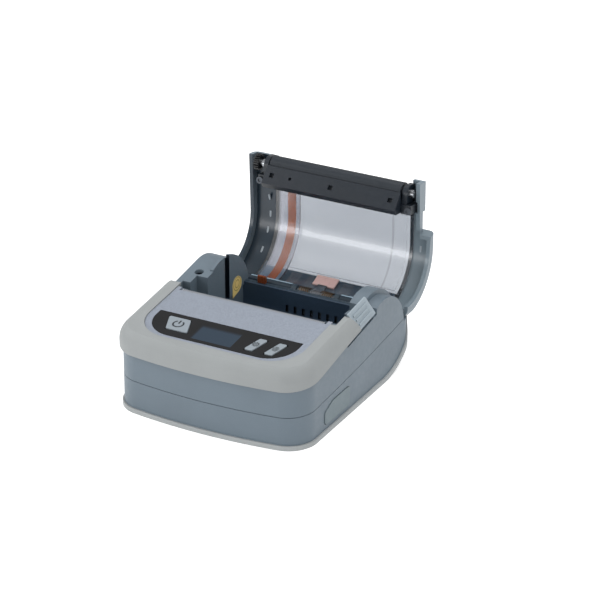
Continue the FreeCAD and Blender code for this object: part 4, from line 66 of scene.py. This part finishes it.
class Graph:
    """A material's node tree, with short calls for the nodes used here."""

    def __init__(self, name):
        self.material = bpy.data.materials.new(name)
        self.material.use_nodes = True
        self.tree = self.material.node_tree
        self.tree.nodes.clear()
        self.out = self.node("ShaderNodeOutputMaterial")
        self.coordinates = self.node("ShaderNodeTexCoord")
        self.place = self.coordinates.outputs["Object"]
        self.normal = self.coordinates.outputs["Normal"]

    def node(self, kind, **settings):
        made = self.tree.nodes.new(kind)
        for key, value in settings.items():
            setattr(made, key, value)
        return made

    def link(self, source, target):
        self.tree.links.new(source, target)

    def feed(self, socket, value):
        if isinstance(value, bpy.types.NodeSocket):
            self.link(value, socket)
        else:
            socket.default_value = value

    def noise(self, scale, detail=2.0, rough=0.5, place=None):
        made = self.node("ShaderNodeTexNoise")
        made.inputs["Scale"].default_value = scale
        made.inputs["Detail"].default_value = detail
        made.inputs["Roughness"].default_value = rough
        self.link(place or self.place, made.inputs["Vector"])
        return made.outputs["Fac"]

    def cells(self, scale, output):
        made = self.node("ShaderNodeTexVoronoi")
        made.inputs["Scale"].default_value = scale
        self.link(self.place, made.inputs["Vector"])
        return made.outputs[output]

    def stretched(self, x, y, z):
        made = self.node("ShaderNodeMapping")
        made.inputs["Scale"].default_value = (x, y, z)
        self.link(self.place, made.inputs["Vector"])
        return made.outputs["Vector"]

    def spread(self, value, low, high, start=0.0, end=1.0, smooth=False):
        """From low to high while the value goes from start to end."""
        made = self.node("ShaderNodeMapRange")
        made.interpolation_type = "SMOOTHSTEP" if smooth else "LINEAR"
        for key, number in (("From Min", start), ("From Max", end), ("To Min", low), ("To Max", high)):
            made.inputs[key].default_value = number
        self.link(value, made.inputs["Value"])
        return made.outputs["Result"]

    def math(self, operation, one, two=0.0):
        made = self.node("ShaderNodeMath", operation=operation)
        self.feed(made.inputs[0], one)
        self.feed(made.inputs[1], two)
        return made.outputs["Value"]

    def away(self, value, middle):
        return self.math("ABSOLUTE", self.math("SUBTRACT", value, middle))

    def mix(self, share, one, two):
        made = self.node("ShaderNodeMix", data_type="RGBA")
        factor, first, second = made.inputs[0], made.inputs[6], made.inputs[7]
        self.feed(factor, share)
        self.feed(first, one)
        self.feed(second, two)
        return made.outputs[2]

    def axes(self, source=None):
        made = self.node("ShaderNodeSeparateXYZ")
        self.link(source or self.place, made.inputs["Vector"])
        return made.outputs

    def clouded(self, noise, dark, light):
        """Patches of two tones, laid out by a noise."""
        return self.mix(self.spread(noise, 0, 1, *NOISE_RANGE), dark, light)

    def sheen(self, low, high, scale=SHEEN_SCALE):
        """Uneven roughness between two values."""
        return self.spread(self.noise(scale), low, high, *NOISE_RANGE)

    def within(self, low, high, axes):
        """1 inside a box, 0 outside, over the given axes."""
        share = None
        for index in axes:
            place = self.axes()[index]
            above = self.math("GREATER_THAN", place, low[index])
            pair = self.math("MULTIPLY", above, self.math("LESS_THAN", place, high[index]))
            share = pair if share is None else self.math("MULTIPLY", share, pair)
        return share

    def masked(self, boxes, tone):
        """The tone with other colours inside boxes: a low corner, a high corner and a colour each."""
        for low, high, code in boxes:
            tone = self.mix(self.within(low, high, (0, 1, 2)), tone, solid(code))
        return tone

    def bump(self, height, strength, distance, edge=0.00025):
        """Relief from a height, over edges that look rounded by the given radius."""
        made = self.node("ShaderNodeBump")
        made.inputs["Strength"].default_value = strength
        made.inputs["Distance"].default_value = distance
        self.link(height, made.inputs["Height"])
        if edge:
            soft = self.node("ShaderNodeBevel", samples=4)
            soft.inputs["Radius"].default_value = edge
            self.link(soft.outputs["Normal"], made.inputs["Normal"])
        return made.outputs["Normal"]

    def shade(self, colour, rough, normal, **uniform):
        """The finished material; uniform names the shader's own sockets, with _ for a space."""
        shader = self.node("ShaderNodeBsdfPrincipled")
        self.feed(shader.inputs["Base Color"], colour)
        self.feed(shader.inputs["Roughness"], rough)
        self.link(normal, shader.inputs["Normal"])
        for key, value in uniform.items():
            shader.inputs[key.replace("_", " ")].default_value = value
        self.link(shader.outputs["BSDF"], self.out.inputs["Surface"])
        return self.material


# Materials

def moulded(name, code, rough, grain=GRAIN_SCALE, depth=0.35, mottle=0.05, edge=0.00025, masks=()):
    """Moulded plastic or rubber: a fine spark-eroded grain, slow colour change and uneven gloss."""
    g = Graph(name)
    colour = linear(code)
    fine = g.noise(grain, 3, 0.6)
    tone = g.clouded(g.noise(CLOUD_SCALE, 3), scaled(colour, 1 - mottle), scaled(colour, 1 + mottle))
    tone = g.masked(masks, g.mix(g.spread(fine, 0, 0.22), tone, scaled(colour, 0.82)))
    return g.shade(tone, g.sheen(rough - 0.05, rough + 0.05), g.bump(fine, depth, 0.00006, edge))


def brushed(name, code, rough, along=(1, 1, 1)):
    """Metal with drawn or rolled streaks; along is low on the axis that the streaks follow."""
    g = Graph(name)
    colour = linear(code)
    streak = g.noise(2400, 3, 0.6, g.stretched(*along))
    tone = g.clouded(streak, scaled(colour, 0.86), scaled(colour, 1.08))
    gloss = g.spread(streak, rough - 0.06, rough + 0.08, 0.25, 0.75)
    return g.shade(tone, gloss, g.bump(streak, 0.15, 0.00003, 0.0001), Metallic=1.0)


def silver_panel():
    """Silver lacquer with small flakes over a fine grain."""
    g = Graph("panel_silver")
    base = linear("969eab")
    flake = g.axes(g.cells(2300, "Color"))[0]
    speck = g.mix(g.spread(flake, 0, 1, 0.15, 0.95), scaled(base, 0.86), scaled(base, 1.12))
    tone = g.mix(g.spread(g.noise(30, 3), 0, 0.5, *NOISE_RANGE), speck, scaled(base, 1.03))
    gloss = g.spread(flake, 0.36, 0.52)
    return g.shade(tone, gloss, g.bump(g.noise(3200), 0.3, 0.00005), Metallic=0.25)


def lacquered(name, code):
    """Dark glaze, with the faint waviness of a thin film."""
    g = Graph(name)
    colour = linear(code)
    wave = g.noise(90)
    tone = g.clouded(wave, scaled(colour, 0.85), scaled(colour, 1.2))
    gloss = g.sheen(0.16, 0.25, FILM_SHEEN_SCALE)
    return g.shade(tone, gloss, g.bump(wave, 0.06, 0.0004, 0.0001), Coat_Weight=0.4, Coat_Roughness=0.06)


def window_band():
    """The black lacquered band, clear over the dark blue display that lies under it, with a painted shadow
    on the display along its rear and left edges.
    """
    g = Graph("band_black")
    low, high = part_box("display_module")
    rim = 0.0006
    edge = Vector((rim, rim, 0))
    x, y, _ = g.axes()
    # Painted shadow on the display along the band's rear and left edges.
    shadow = g.math("MULTIPLY", g.spread(y, 1, 0, high.y - 4 * rim, high.y + rim, smooth=True),
                    g.spread(x, 0, 1, low.x - rim, low.x + 0.0014, smooth=True))
    wave = g.noise(90)
    black = g.clouded(wave, solid("131416"), solid("18191c"))
    glass = g.mix(shadow, solid("15191f"), solid("2c3b4a"))
    tone = g.mix(g.within(low - edge, high + edge, (0, 1)), black, glass)
    gloss = g.sheen(0.1, 0.18, FILM_SHEEN_SCALE)
    return g.shade(tone, gloss, g.bump(wave, 0.06, 0.0004, 0.0001), Specular_IOR_Level=0.3)


def display_glass():
    """A dark blue liquid crystal display that is off, with a darker rim round its active area."""
    g = Graph("display_glass")
    low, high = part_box("display_module")
    rim = Vector((0.0009, 0.0009, 0))
    lines = g.math("SINE", g.math("MULTIPLY", g.axes()[0], 12000.0))
    active = g.mix(g.spread(lines, 0, 0.3, -1, 1), solid("232d3b"), solid("1b2431"))
    tone = g.mix(g.within(low + rim, high - rim, (0, 1)), solid("1b212b"), active)
    gloss = g.sheen(0.07, 0.14, 300)
    return g.shade(tone, gloss, g.bump(g.noise(120, 1), 0.03, 0.0003, 0.0001), Coat_Weight=0.5)


def tub_plastic():
    """The tub's plastic: its side walls have the colour of the case, while painted shade makes its other
    faces dark and its vents black.
    """
    g = Graph("liner_plastic")
    # dark is painted shade for the floor and rear walls; side is the case's own colour.
    dark, side = linear("3a4c5f"), linear("5f6e79")
    sideways = g.math("GREATER_THAN", g.math("ABSOLUTE", g.axes(g.normal)[0]), 0.9)
    light = g.mix(sideways, scaled(dark, 1), scaled(side, 1))
    deep = g.mix(sideways, scaled(dark, 0.86), scaled(side, 0.94))
    tone = g.masked(VENT_PAINTED_SHADE, g.clouded(g.noise(CLOUD_SCALE, 3), deep, light))
    return g.shade(tone, g.sheen(0.36, 0.46), g.bump(g.noise(GRAIN_SCALE, 3, 0.6), 0.3, 0.00006))


def lid_shell_plastic():
    """The lid's plastic: satin outside and polished inside the curve, where painted shade darkens the inner
    face and painted light makes it paler at its right.
    """
    g = Graph("lid_plastic")
    outer, inner, right = linear("7d8b95"), linear("303e4a"), linear("7d8b94")
    curve_y, curve_z = 0.052, 0.062
    x, y, z = g.axes()
    normal = g.axes(g.normal)
    toward_y = g.math("MULTIPLY", g.math("SUBTRACT", y, curve_y), normal[1])
    toward_z = g.math("MULTIPLY", g.math("SUBTRACT", z, curve_z), normal[2])
    inside = g.spread(g.math("ADD", toward_y, toward_z), 1, 0, -0.004, 0.002, smooth=True)
    slow = g.noise(34, 3)
    outside = g.clouded(slow, scaled(outer, 0.9), scaled(outer, 1))
    # Painted shade darkens the inner face; painted light makes its right side paler.
    painted_shade = g.clouded(slow, scaled(inner, 0.84), scaled(inner, 1))
    painted_light = g.clouded(slow, scaled(right, 0.88), scaled(right, 1))
    inward = g.masked(LID_PAINTED_LIGHT, g.mix(g.spread(x, 0, 1, 0.036, 0.044), painted_shade, painted_light))
    tone = g.masked(FOOT_MASKS, g.mix(inside, outside, inward))
    return g.shade(tone, g.spread(inside, 0.42, 0.24), g.bump(g.noise(GRAIN_SCALE, 3, 0.6), 0.2, 0.00005))


def clear_plastic(name, code, rough, step=None):
    """Smoky clear plastic with the faint flow waves of a moulded window, and a thin dark line of painted
    shade at its step, which has no relief.
    """
    g = Graph(name)
    colour = linear(code)
    wave = g.noise(26, place=g.stretched(0.35, 1, 1))
    tone = g.clouded(wave, scaled(colour, 0.97), scaled(colour, 1.03))
    if step:
        # A thin dark line of painted shade where the window steps.
        line = g.spread(g.away(g.axes()[0], step), 0.6, 0, 0.0001, 0.0004)
        tone = g.mix(line, tone, scaled(colour, 0.35))
    gloss = g.sheen(rough - 0.03, rough + 0.04, 500)
    return g.shade(tone, gloss, g.bump(wave, 0.02, 0.0004, 0), Transmission_Weight=1.0, IOR=1.3,
                   Coat_Weight=1.0, Coat_IOR=1.8, Coat_Roughness=0.3)


def film(name, code, trace_code, pitch, axis=0, metallic=0.0, share=0.45):
    """A flexible printed film with fine traces; share is how strongly they show."""
    g = Graph(name)
    base = linear(code)
    wave = g.math("SINE", g.math("MULTIPLY", g.axes()[axis], 2 * math.pi / pitch))
    tone = g.mix(g.spread(wave, 0, share, -0.2, 0.3, smooth=True), scaled(base, 1), solid(trace_code))
    tone = g.mix(g.spread(g.noise(160), 0, 0.3, *NOISE_RANGE), tone, scaled(base, 0.8))
    gloss = g.sheen(0.25, 0.38, 600)
    return g.shade(tone, gloss, g.bump(wave, 0.12, 0.00004, 0.0001), Metallic=metallic)


def circuit_board():
    """Green solder mask with traces and a scatter of pads."""
    g = Graph("circuit_board")
    x, y, _ = g.axes()
    run = g.math("SINE", g.math("MULTIPLY", g.math("ADD", x, y), 5200.0))
    dots = g.cells(520, "Distance")
    tone = g.mix(g.spread(run, 0, 1, 0.2, 0.5), solid("1d4a33"), solid("2c6a48"))
    tone = g.mix(g.math("LESS_THAN", dots, 0.12), tone, solid("b9a36a"))
    return g.shade(tone, g.sheen(0.28, 0.42, 600), g.bump(dots, 0.15, 0.0001, 0.0001))


def gold_sticker():
    """A drop-shaped inspection sticker, bare apart from two plain rings."""
    g = Graph("sticker_yellow")
    base = linear("fbdc8c")
    low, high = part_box("check_sticker")
    middle_y, size = (low.y + high.y) / 2, (high.y - low.y) / 2
    middle_z = (low.z + high.z) / 2 + (high.z - low.z) * 0.12
    _, y, z = g.axes()
    away_y, away_z = g.math("SUBTRACT", y, middle_y), g.math("SUBTRACT", z, middle_z)
    squares = g.math("ADD", g.math("MULTIPLY", away_y, away_y), g.math("MULTIPLY", away_z, away_z))
    reach = g.math("SQRT", squares)
    wide, small = (g.math("LESS_THAN", g.away(reach, size * part), size * 0.05) for part in (0.78, 0.45))
    paper = g.clouded(g.noise(900, 3), scaled(base, 0.9), scaled(base, 1.08))
    tone = g.mix(g.math("MULTIPLY", g.math("MAXIMUM", wide, small), 0.7), paper, solid("6e5c34"))
    return g.shade(tone, g.sheen(0.4, 0.55, FILM_SHEEN_SCALE), g.bump(g.noise(1500), 0.15, 0.00004, 0))


def toothed_steel():
    """The tear bar: rolled steel whose teeth show as a fine row, light steel with painted shade between the
    teeth.
    """
    g = Graph("tear_steel")
    steel = linear("b3b8c0")
    pitch = 0.00106
    streak = g.noise(2400, 3, 0.6, g.stretched(0.08, 1, 1))
    turn = g.math("MULTIPLY", g.axes()[0], 2 * math.pi / pitch)
    row = g.math("SINE", g.math("ADD", turn, math.pi / 2))
    light = g.clouded(streak, scaled(steel, 0.9), scaled(steel, 1.05))
    # Painted shade between the teeth, near black.
    tone = g.mix(g.spread(row, 0, 0.85, -0.4, 0.4, smooth=True), light, solid("14181c"))
    gloss = g.spread(streak, 0.24, 0.38, 0.25, 0.75)
    return g.shade(tone, gloss, g.bump(row, 0.4, 0.00012, 0), Metallic=0.2)


# Places of another colour within one moulding: painted shade on the rear bar, in the hump's slot and in the
# tub's vents, painted light on the lid's inner face below the clear cover and on its ribs, which have no
# relief, and the black feet of the roller's bracket

# Painted shade on the rear bar behind the bay and inside the hump's slot.
REAR_BAR_PAINTED_SHADE = ((-0.0409, 0.0536, 0.018), (0.0409, 0.064, 0.0306), "33434f")
HUMP_SLOT_PAINTED_SHADE = ((-0.0431, 0.03255, 0.0235), (-0.0405, 0.03745, 0.08), "0a1420")
VENT_PITCH, VENT_MIDDLE, VENT_HALF = 0.005, -0.014, 0.00087
VENT_X = [VENT_MIDDLE + VENT_PITCH * i for i in range(7)]
# Painted shade, near black, in the tub's vents.
VENT_PAINTED_SHADE = [((x - VENT_HALF, 0.044, 0.01706), (x + VENT_HALF, 0.0576, 0.02094), "060d16") for x in VENT_X]
# Painted light on the lid's inner face below the clear cover, and on its four ribs, which have no relief.
LID_SKIN_PAINTED_LIGHT = ((-0.0405, 0.0605, 0.018), (0.0405, 0.0815, 0.0318), "b4d0e2")
RIB_PITCH, RIB_MIDDLE, RIB_HALF = 0.0107, 0.0022, 0.0032
RIB_X = [RIB_PITCH * i + RIB_MIDDLE for i in (-2, -1, 1, 2)]
LID_PAINTED_LIGHT = [LID_SKIN_PAINTED_LIGHT] + [
    ((x - RIB_HALF, 0.066, 0.018), (x + RIB_HALF, 0.0745, 0.0318), "dfe9f1") for x in RIB_X
]
FOOT_NEAR, FOOT_FAR = 0.0426, 0.0476
FOOT_MASKS = [
    ((low_x, 0.0765, 0.0752), (high_x, 0.089, 0.0818), "1a2027")
    for low_x, high_x in ((-FOOT_FAR, -FOOT_NEAR), (FOOT_NEAR, FOOT_FAR))
]
WINDOW_STEP_X = 0.0305

CASE_CODE = "6a7883"
CASE = moulded("case_plastic", CASE_CODE, 0.46, depth=0.3)
UPPER_CASE = moulded("case_plastic_upper", CASE_CODE, 0.46, depth=0.3, masks=(REAR_BAR_PAINTED_SHADE, HUMP_SLOT_PAINTED_SHADE))
RUBBER = moulded("bumper_rubber", "9a9e9f", 0.6, RUBBER_GRAIN_SCALE, depth=0.45, mottle=0.04, edge=0.0004)
RING = moulded("ring_rubber", "aeb2b3", 0.6, RUBBER_GRAIN_SCALE, depth=0.45, mottle=0.04, edge=0.0004)
LATCH = moulded("latch_plastic", "a0adb6", 0.34, depth=0.2)
BUTTON = moulded("button_grey", "929ca4", 0.42, depth=0.25, mottle=0.03)
BLACK = moulded("black_plastic", "151e28", 0.38, depth=0.4, mottle=0.12)
PORT = moulded("port_rubber", "758389", 0.55, RUBBER_GRAIN_SCALE, depth=0.4, mottle=0.04)
ROLLER = moulded("roller_rubber", "1b232c", 0.44, grain=3000, depth=0.6, mottle=0.08, edge=0.0001)
SLEEVE = moulded("cell_sleeve", "2c4f86", 0.3, grain=700, depth=0.1)
GEAR = moulded("gear_black", "17191c", 0.36, grain=1800, depth=0.2, mottle=0.12, edge=0.0001)
INK = moulded("icon_ink", "141c24", 0.5, depth=0.1)
# The catches are pale partly as painted highlight, for the light they catch.
TAB = moulded("snap_tab", "a4aeb6", 0.4, depth=0.2)
STEEL = brushed("steel", "b9bcc0", 0.3)
DARK_STEEL = brushed("dark_steel", "54585e", 0.5)
SHAFT = brushed("shaft_steel", "a4a7ab", 0.3, (0.05, 1, 1))
COIL = brushed("spring_steel", "6d5c4a", 0.3)
HEAD = lacquered("head_glaze", "22201f")
BOARD = circuit_board()
WINDOW = clear_plastic("clear_plastic", "9a9fa6", 0.06, step=WINDOW_STEP_X)
COVER = clear_plastic("cover_clear", "cfcfd6", 0.08)

FINISH = [
    (CASE, "lower_shell", "battery_door"),
    (UPPER_CASE, "upper_shell"),
    (RUBBER, "front_bumper"),
    (RING, "bottom_ring"),
    (PORT, "port_cover"),
    (silver_panel(), "control_panel"),
    (window_band(), "panel_window"),
    (display_glass(), "display_module"),
    (BUTTON, "power_button", "settings_button", "feed_button"),
    (BLACK, "push_switches", "power_socket", "sensor_bar", "roller_cheeks"),
    (BOARD, "button_board", "main_board", "sensor_board"),
    (STEEL, "board_screws", "head_bracket", "gear_plate", "stepper_motor", "usb_socket", "case_screws"),
    (DARK_STEEL, "lid_screws"),
    (SHAFT, "gear_axles", "motor_shaft", "hinge_pin", "platen_bushes", "platen_shaft"),
    (COIL, "head_springs", "latch_spring", "hinge_springs"),
    (GEAR, "drive_gear", "idler_gear", "motor_pinion", "platen_gear"),
    (toothed_steel(), "tear_bar"),
    (tub_plastic(), "paper_tub"),
    (HEAD, "print_head"),
    (SLEEVE, "battery_pack"),
    (LATCH, "latch"),
    (gold_sticker(), "check_sticker"),
    (lid_shell_plastic(), "lid_shell"),
    (WINDOW, "lid_window"),
    (COVER, "ribbon_cover"),
    (film("loop_film", "8a4322", "ad6038", 0.0012, metallic=0.2), "ribbon_loop"),
    (film("ribbon_film", "ff8434", "ffa060", 0.0009), "lid_ribbon"),
    (film("pad_film", "e6c0bb", "ecd0cc", 0.0011, axis=1, share=0.3), "lid_pad"),
    (ROLLER, "platen_rubber"),
]
for material, *names in FINISH:
    for name in names:
        mesh = nodes[name].data
        mesh.materials.clear()
        mesh.materials.append(material)


def new_object(name, bm, material):
    mesh = bpy.data.meshes.new(name)
    bm.to_mesh(mesh)
    bm.free()
    mesh.materials.append(material)
    made = bpy.data.objects.new(name, mesh)
    bpy.context.scene.collection.objects.link(made)
    return made


def bridge(bm, rows, sides, closed=False):
    """Faces between rows of four corners each; an open run is capped at both ends."""
    pairs = list(zip(rows, rows[1:]))
    if closed:
        pairs.append((rows[-1], rows[0]))
    for one, two in pairs:
        for i, j in sides:
            bm.faces.new((one[i], one[j], two[j], two[i]))
    if not closed:
        for row in (rows[0], rows[-1]):
            bm.faces.new((row[0], row[1], row[3], row[2]))


# Prints on the buttons, in the frame of the tilted deck

DECK = Matrix.Translation((0, -0.009, 0.0504)) @ Matrix.Rotation(math.radians(6.2), 4, "X")
INK_DEPTH = 0.00003
TOP_SLACK = 0.0001


def deck_top(node):
    """Middle of a deck piece's top face and its height, in the deck's own frame."""
    back = DECK.inverted()
    places = [back @ v.co for v in nodes[node].data.vertices]
    high = max(p.z for p in places)
    top = [p for p in places if p.z > high - TOP_SLACK]
    low_x, high_x = min(p.x for p in top), max(p.x for p in top)
    low_y, high_y = min(p.y for p in top), max(p.y for p in top)
    return Vector(((low_x + high_x) / 2, (low_y + high_y) / 2, high))


def stroke(points, width, closed):
    """The two outlines of a line of even width through the points."""
    count = len(points)
    left, right = [], []
    for i, p in enumerate(points):
        before = points[i - 1] if i or closed else p
        after = points[(i + 1) % count] if i < count - 1 or closed else p
        way = (after - before).normalized()
        side = Vector((-way.y, way.x)) * width / 2
        left.append(p + side)
        right.append(p - side)
    return left, right


def add_stroke(bm, middle, points, width, closed):
    left, right = stroke([Vector(p) for p in points], width, closed)
    rows = []
    for pair in zip(left, right):
        row = []
        for p in pair:
            for lift in (0.0, INK_DEPTH):
                row.append(bm.verts.new(DECK @ (middle + Vector((p.x, p.y, lift)))))
        rows.append(row)
    bridge(bm, rows, ((1, 3), (3, 2), (2, 0), (0, 1)), closed)


def circle(radius, start=0.0, end=360.0, count=28):
    turn = [math.radians(start + (end - start) * i / count) for i in range(count + 1)]
    return [(radius * math.cos(t), radius * math.sin(t)) for t in turn]


def print_piece(name, body, node, strokes):
    bm = bmesh.new()
    middle = deck_top(node)
    for points, width, closed in strokes:
        add_stroke(bm, middle, points, width, closed)
    bmesh.ops.recalc_face_normals(bm, faces=bm.faces)
    piece = new_object(name, bm, INK)
    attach(piece, body)


POWER, POWER_LINE = 0.0028, 0.0009
print_piece("power_icon", "power_key", "power_button", [
    (circle(POWER, 125, 415), POWER_LINE, False),
    ([(0, POWER * 0.1), (0, POWER * 1.2)], POWER_LINE, False),
])
GEAR_SIZE, TOOTH_COUNT = 0.00145, 8
tooth_places = circle(GEAR_SIZE, count=TOOTH_COUNT)[:-1]
print_piece("settings_icon", "settings_key", "settings_button", [
    (circle(GEAR_SIZE)[:-1], 0.00052, True),
    (circle(GEAR_SIZE * 0.42, count=16)[:-1], 0.00036, True),
    *[([(x * 1.12, y * 1.12), (x * 1.45, y * 1.45)], 0.0005, False) for x, y in tooth_places],
])
FEED, FEED_LINE = 0.0018, 0.00046
FEED_ROWS = ((1, 0.5), (1, 0), (1, -0.5), (0.55, 1), (0.55, -1))
print_piece("feed_icon", "feed_key", "feed_button", [
    ([(-FEED * half, FEED * up), (FEED * half, FEED * up)], FEED_LINE, False) for half, up in FEED_ROWS
])


# Snap tabs on the lid's curved inner face

ROLL_Y, ROLL_Z, LID_TURN = 0.06182, 0.05618, math.radians(-97)
TAB_RADII = (0.02896, 0.02948)
TAB_HALF_WIDTH, TAB_HALF_TURN = 0.00055, 3.6
TAB_OUTLINE = ((-1, 0.45), (-0.8, 0.8), (-0.4, 1), (0.4, 1), (1, 1))
TAB_PLACES = ((-0.0449, 114), (-0.0449, 93), (-0.0455, 75), (-0.0457, 52), (0.0478, 90))


def lid_place(x, radius, angle):
    """A place on the open lid, from its radius about the roll and its angle with the lid shut."""
    turned = math.radians(angle) + LID_TURN
    return Vector((x, ROLL_Y + radius * math.cos(turned), ROLL_Z + radius * math.sin(turned)))


def snap_tab(name, x, angle):
    """A small flat catch with a narrower end toward the hinge."""
    bm = bmesh.new()
    rows = []
    for along, narrow in TAB_OUTLINE:
        row = []
        for side in (-1, 1):
            for radius in TAB_RADII:
                place = lid_place(x + side * TAB_HALF_WIDTH * narrow, radius, angle + TAB_HALF_TURN * along)
                row.append(bm.verts.new(place))
        rows.append(row)
    bridge(bm, rows, ((0, 1), (1, 3), (3, 2), (2, 0)))
    bmesh.ops.recalc_face_normals(bm, faces=bm.faces)
    piece = new_object(name, bm, TAB)
    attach(piece, "lid")


for number, (x, angle) in enumerate(TAB_PLACES):
    snap_tab(f"snap_tab_{number + 1}", x, angle)


# Stage, light and camera

FLOOR_REACH, FLOOR_GREY, FLOOR_GLOW = 4.0, 0.86, 0.55
WORLD_LEVEL = 0.45
LAMP_TARGET = (0.0, 0.01, 0.04)
WINDOW_MIDDLE = (0, 0.09, 0.047)


def pale(name, grey, glow):
    """A pale surface that shows white to the camera, in glass and in metal, and keeps its shadows."""
    g = Graph(name)
    path = g.node("ShaderNodeLightPath")
    seen = g.math("MAXIMUM", path.outputs["Is Camera Ray"], path.outputs["Is Glossy Ray"])
    seen = g.math("MAXIMUM", seen, path.outputs["Is Transmission Ray"])
    colour = [grey] * 3
    shader = g.node("ShaderNodeBsdfPrincipled")
    g.link(g.clouded(g.noise(2.0), scaled(colour, 0.99), scaled(colour, 1.0)), shader.inputs["Base Color"])
    shader.inputs["Roughness"].default_value = 0.9
    shader.inputs["Specular IOR Level"].default_value = 0.1
    shader.inputs["Emission Color"].default_value = WHITE
    g.link(g.math("MULTIPLY", seen, glow), shader.inputs["Emission Strength"])
    g.link(shader.outputs["BSDF"], g.out.inputs["Surface"])
    return g.material


bm = bmesh.new()
corners = [(FLOOR_REACH * x, FLOOR_REACH * y, 0) for x, y in ((-1, -1), (1, -1), (1, 1), (-1, 1))]
bm.faces.new([bm.verts.new(corner) for corner in corners])
floor = new_object("floor", bm, pale("floor_pale", FLOOR_GREY, FLOOR_GLOW))

world = bpy.data.worlds.new("studio")
bpy.context.scene.world = world
world.use_nodes = True
tree = world.node_tree
tree.nodes.clear()
path = tree.nodes.new("ShaderNodeLightPath")
seen = tree.nodes.new("ShaderNodeMath")
seen.operation = "MAXIMUM"
tree.links.new(path.outputs["Is Camera Ray"], seen.inputs[0])
tree.links.new(path.outputs["Is Transmission Ray"], seen.inputs[1])
level = tree.nodes.new("ShaderNodeMapRange")
level.inputs["To Min"].default_value = WORLD_LEVEL
level.inputs["To Max"].default_value = 1.0
tree.links.new(seen.outputs["Value"], level.inputs["Value"])
back = tree.nodes.new("ShaderNodeBackground")
back.inputs["Color"].default_value = WHITE
tree.links.new(level.outputs["Result"], back.inputs["Strength"])
end = tree.nodes.new("ShaderNodeOutputWorld")
tree.links.new(back.outputs["Background"], end.inputs["Surface"])


def lamp(name, place, target, width, height, power):
    data = bpy.data.lights.new(name, "AREA")
    data.shape = "RECTANGLE"
    data.size, data.size_y = width, height
    data.energy = power
    made = bpy.data.objects.new(name, data)
    bpy.context.scene.collection.objects.link(made)
    made.location = place
    way = Vector(target) - Vector(place)
    made.rotation_mode = "QUATERNION"
    made.rotation_quaternion = way.to_track_quat("-Z", "Y")


lamp("key", (-1.15, -0.4, 0.95), LAMP_TARGET, 0.5, 0.6, 6.5)
lamp("top", (0.15, 0.35, 1.1), LAMP_TARGET, 0.9, 0.5, 6.8)
lamp("fill", (1.0, -0.6, 0.5), LAMP_TARGET, 0.5, 0.7, 3.0)
lamp("strip", (-0.52, -0.99, 0.17), WINDOW_MIDDLE, 1.0, 0.26, 3.4)

AZIMUTH, ELEVATION = math.radians(28.35), math.radians(25.47)
FOCAL_PIXELS, PHOTO_PIXELS, SENSOR_WIDTH = 2793.0, 600, 36.0
AIM_RIGHT, AIM_UP, DISTANCE = 0.01988, 0.04457, 1.4809
BACK = Vector((math.sin(AZIMUTH) * math.cos(ELEVATION), -math.cos(AZIMUTH) * math.cos(ELEVATION),
               math.sin(ELEVATION)))
RIGHT = Vector((math.cos(AZIMUTH), math.sin(AZIMUTH), 0))
UP = BACK.cross(RIGHT)
camera_data = bpy.data.cameras.new("camera")
camera_data.sensor_width = SENSOR_WIDTH
camera_data.lens = FOCAL_PIXELS * SENSOR_WIDTH / PHOTO_PIXELS
camera_data.clip_start, camera_data.clip_end = 0.05, 20
camera = bpy.data.objects.new("camera", camera_data)
bpy.context.scene.collection.objects.link(camera)
place = RIGHT * AIM_RIGHT + UP * AIM_UP + BACK * DISTANCE
turn = Matrix((RIGHT, UP, BACK)).transposed()
camera.matrix_world = Matrix.Translation(place) @ turn.to_4x4()
bpy.context.scene.camera = camera
bpy.context.scene.view_settings.view_transform = "Standard"
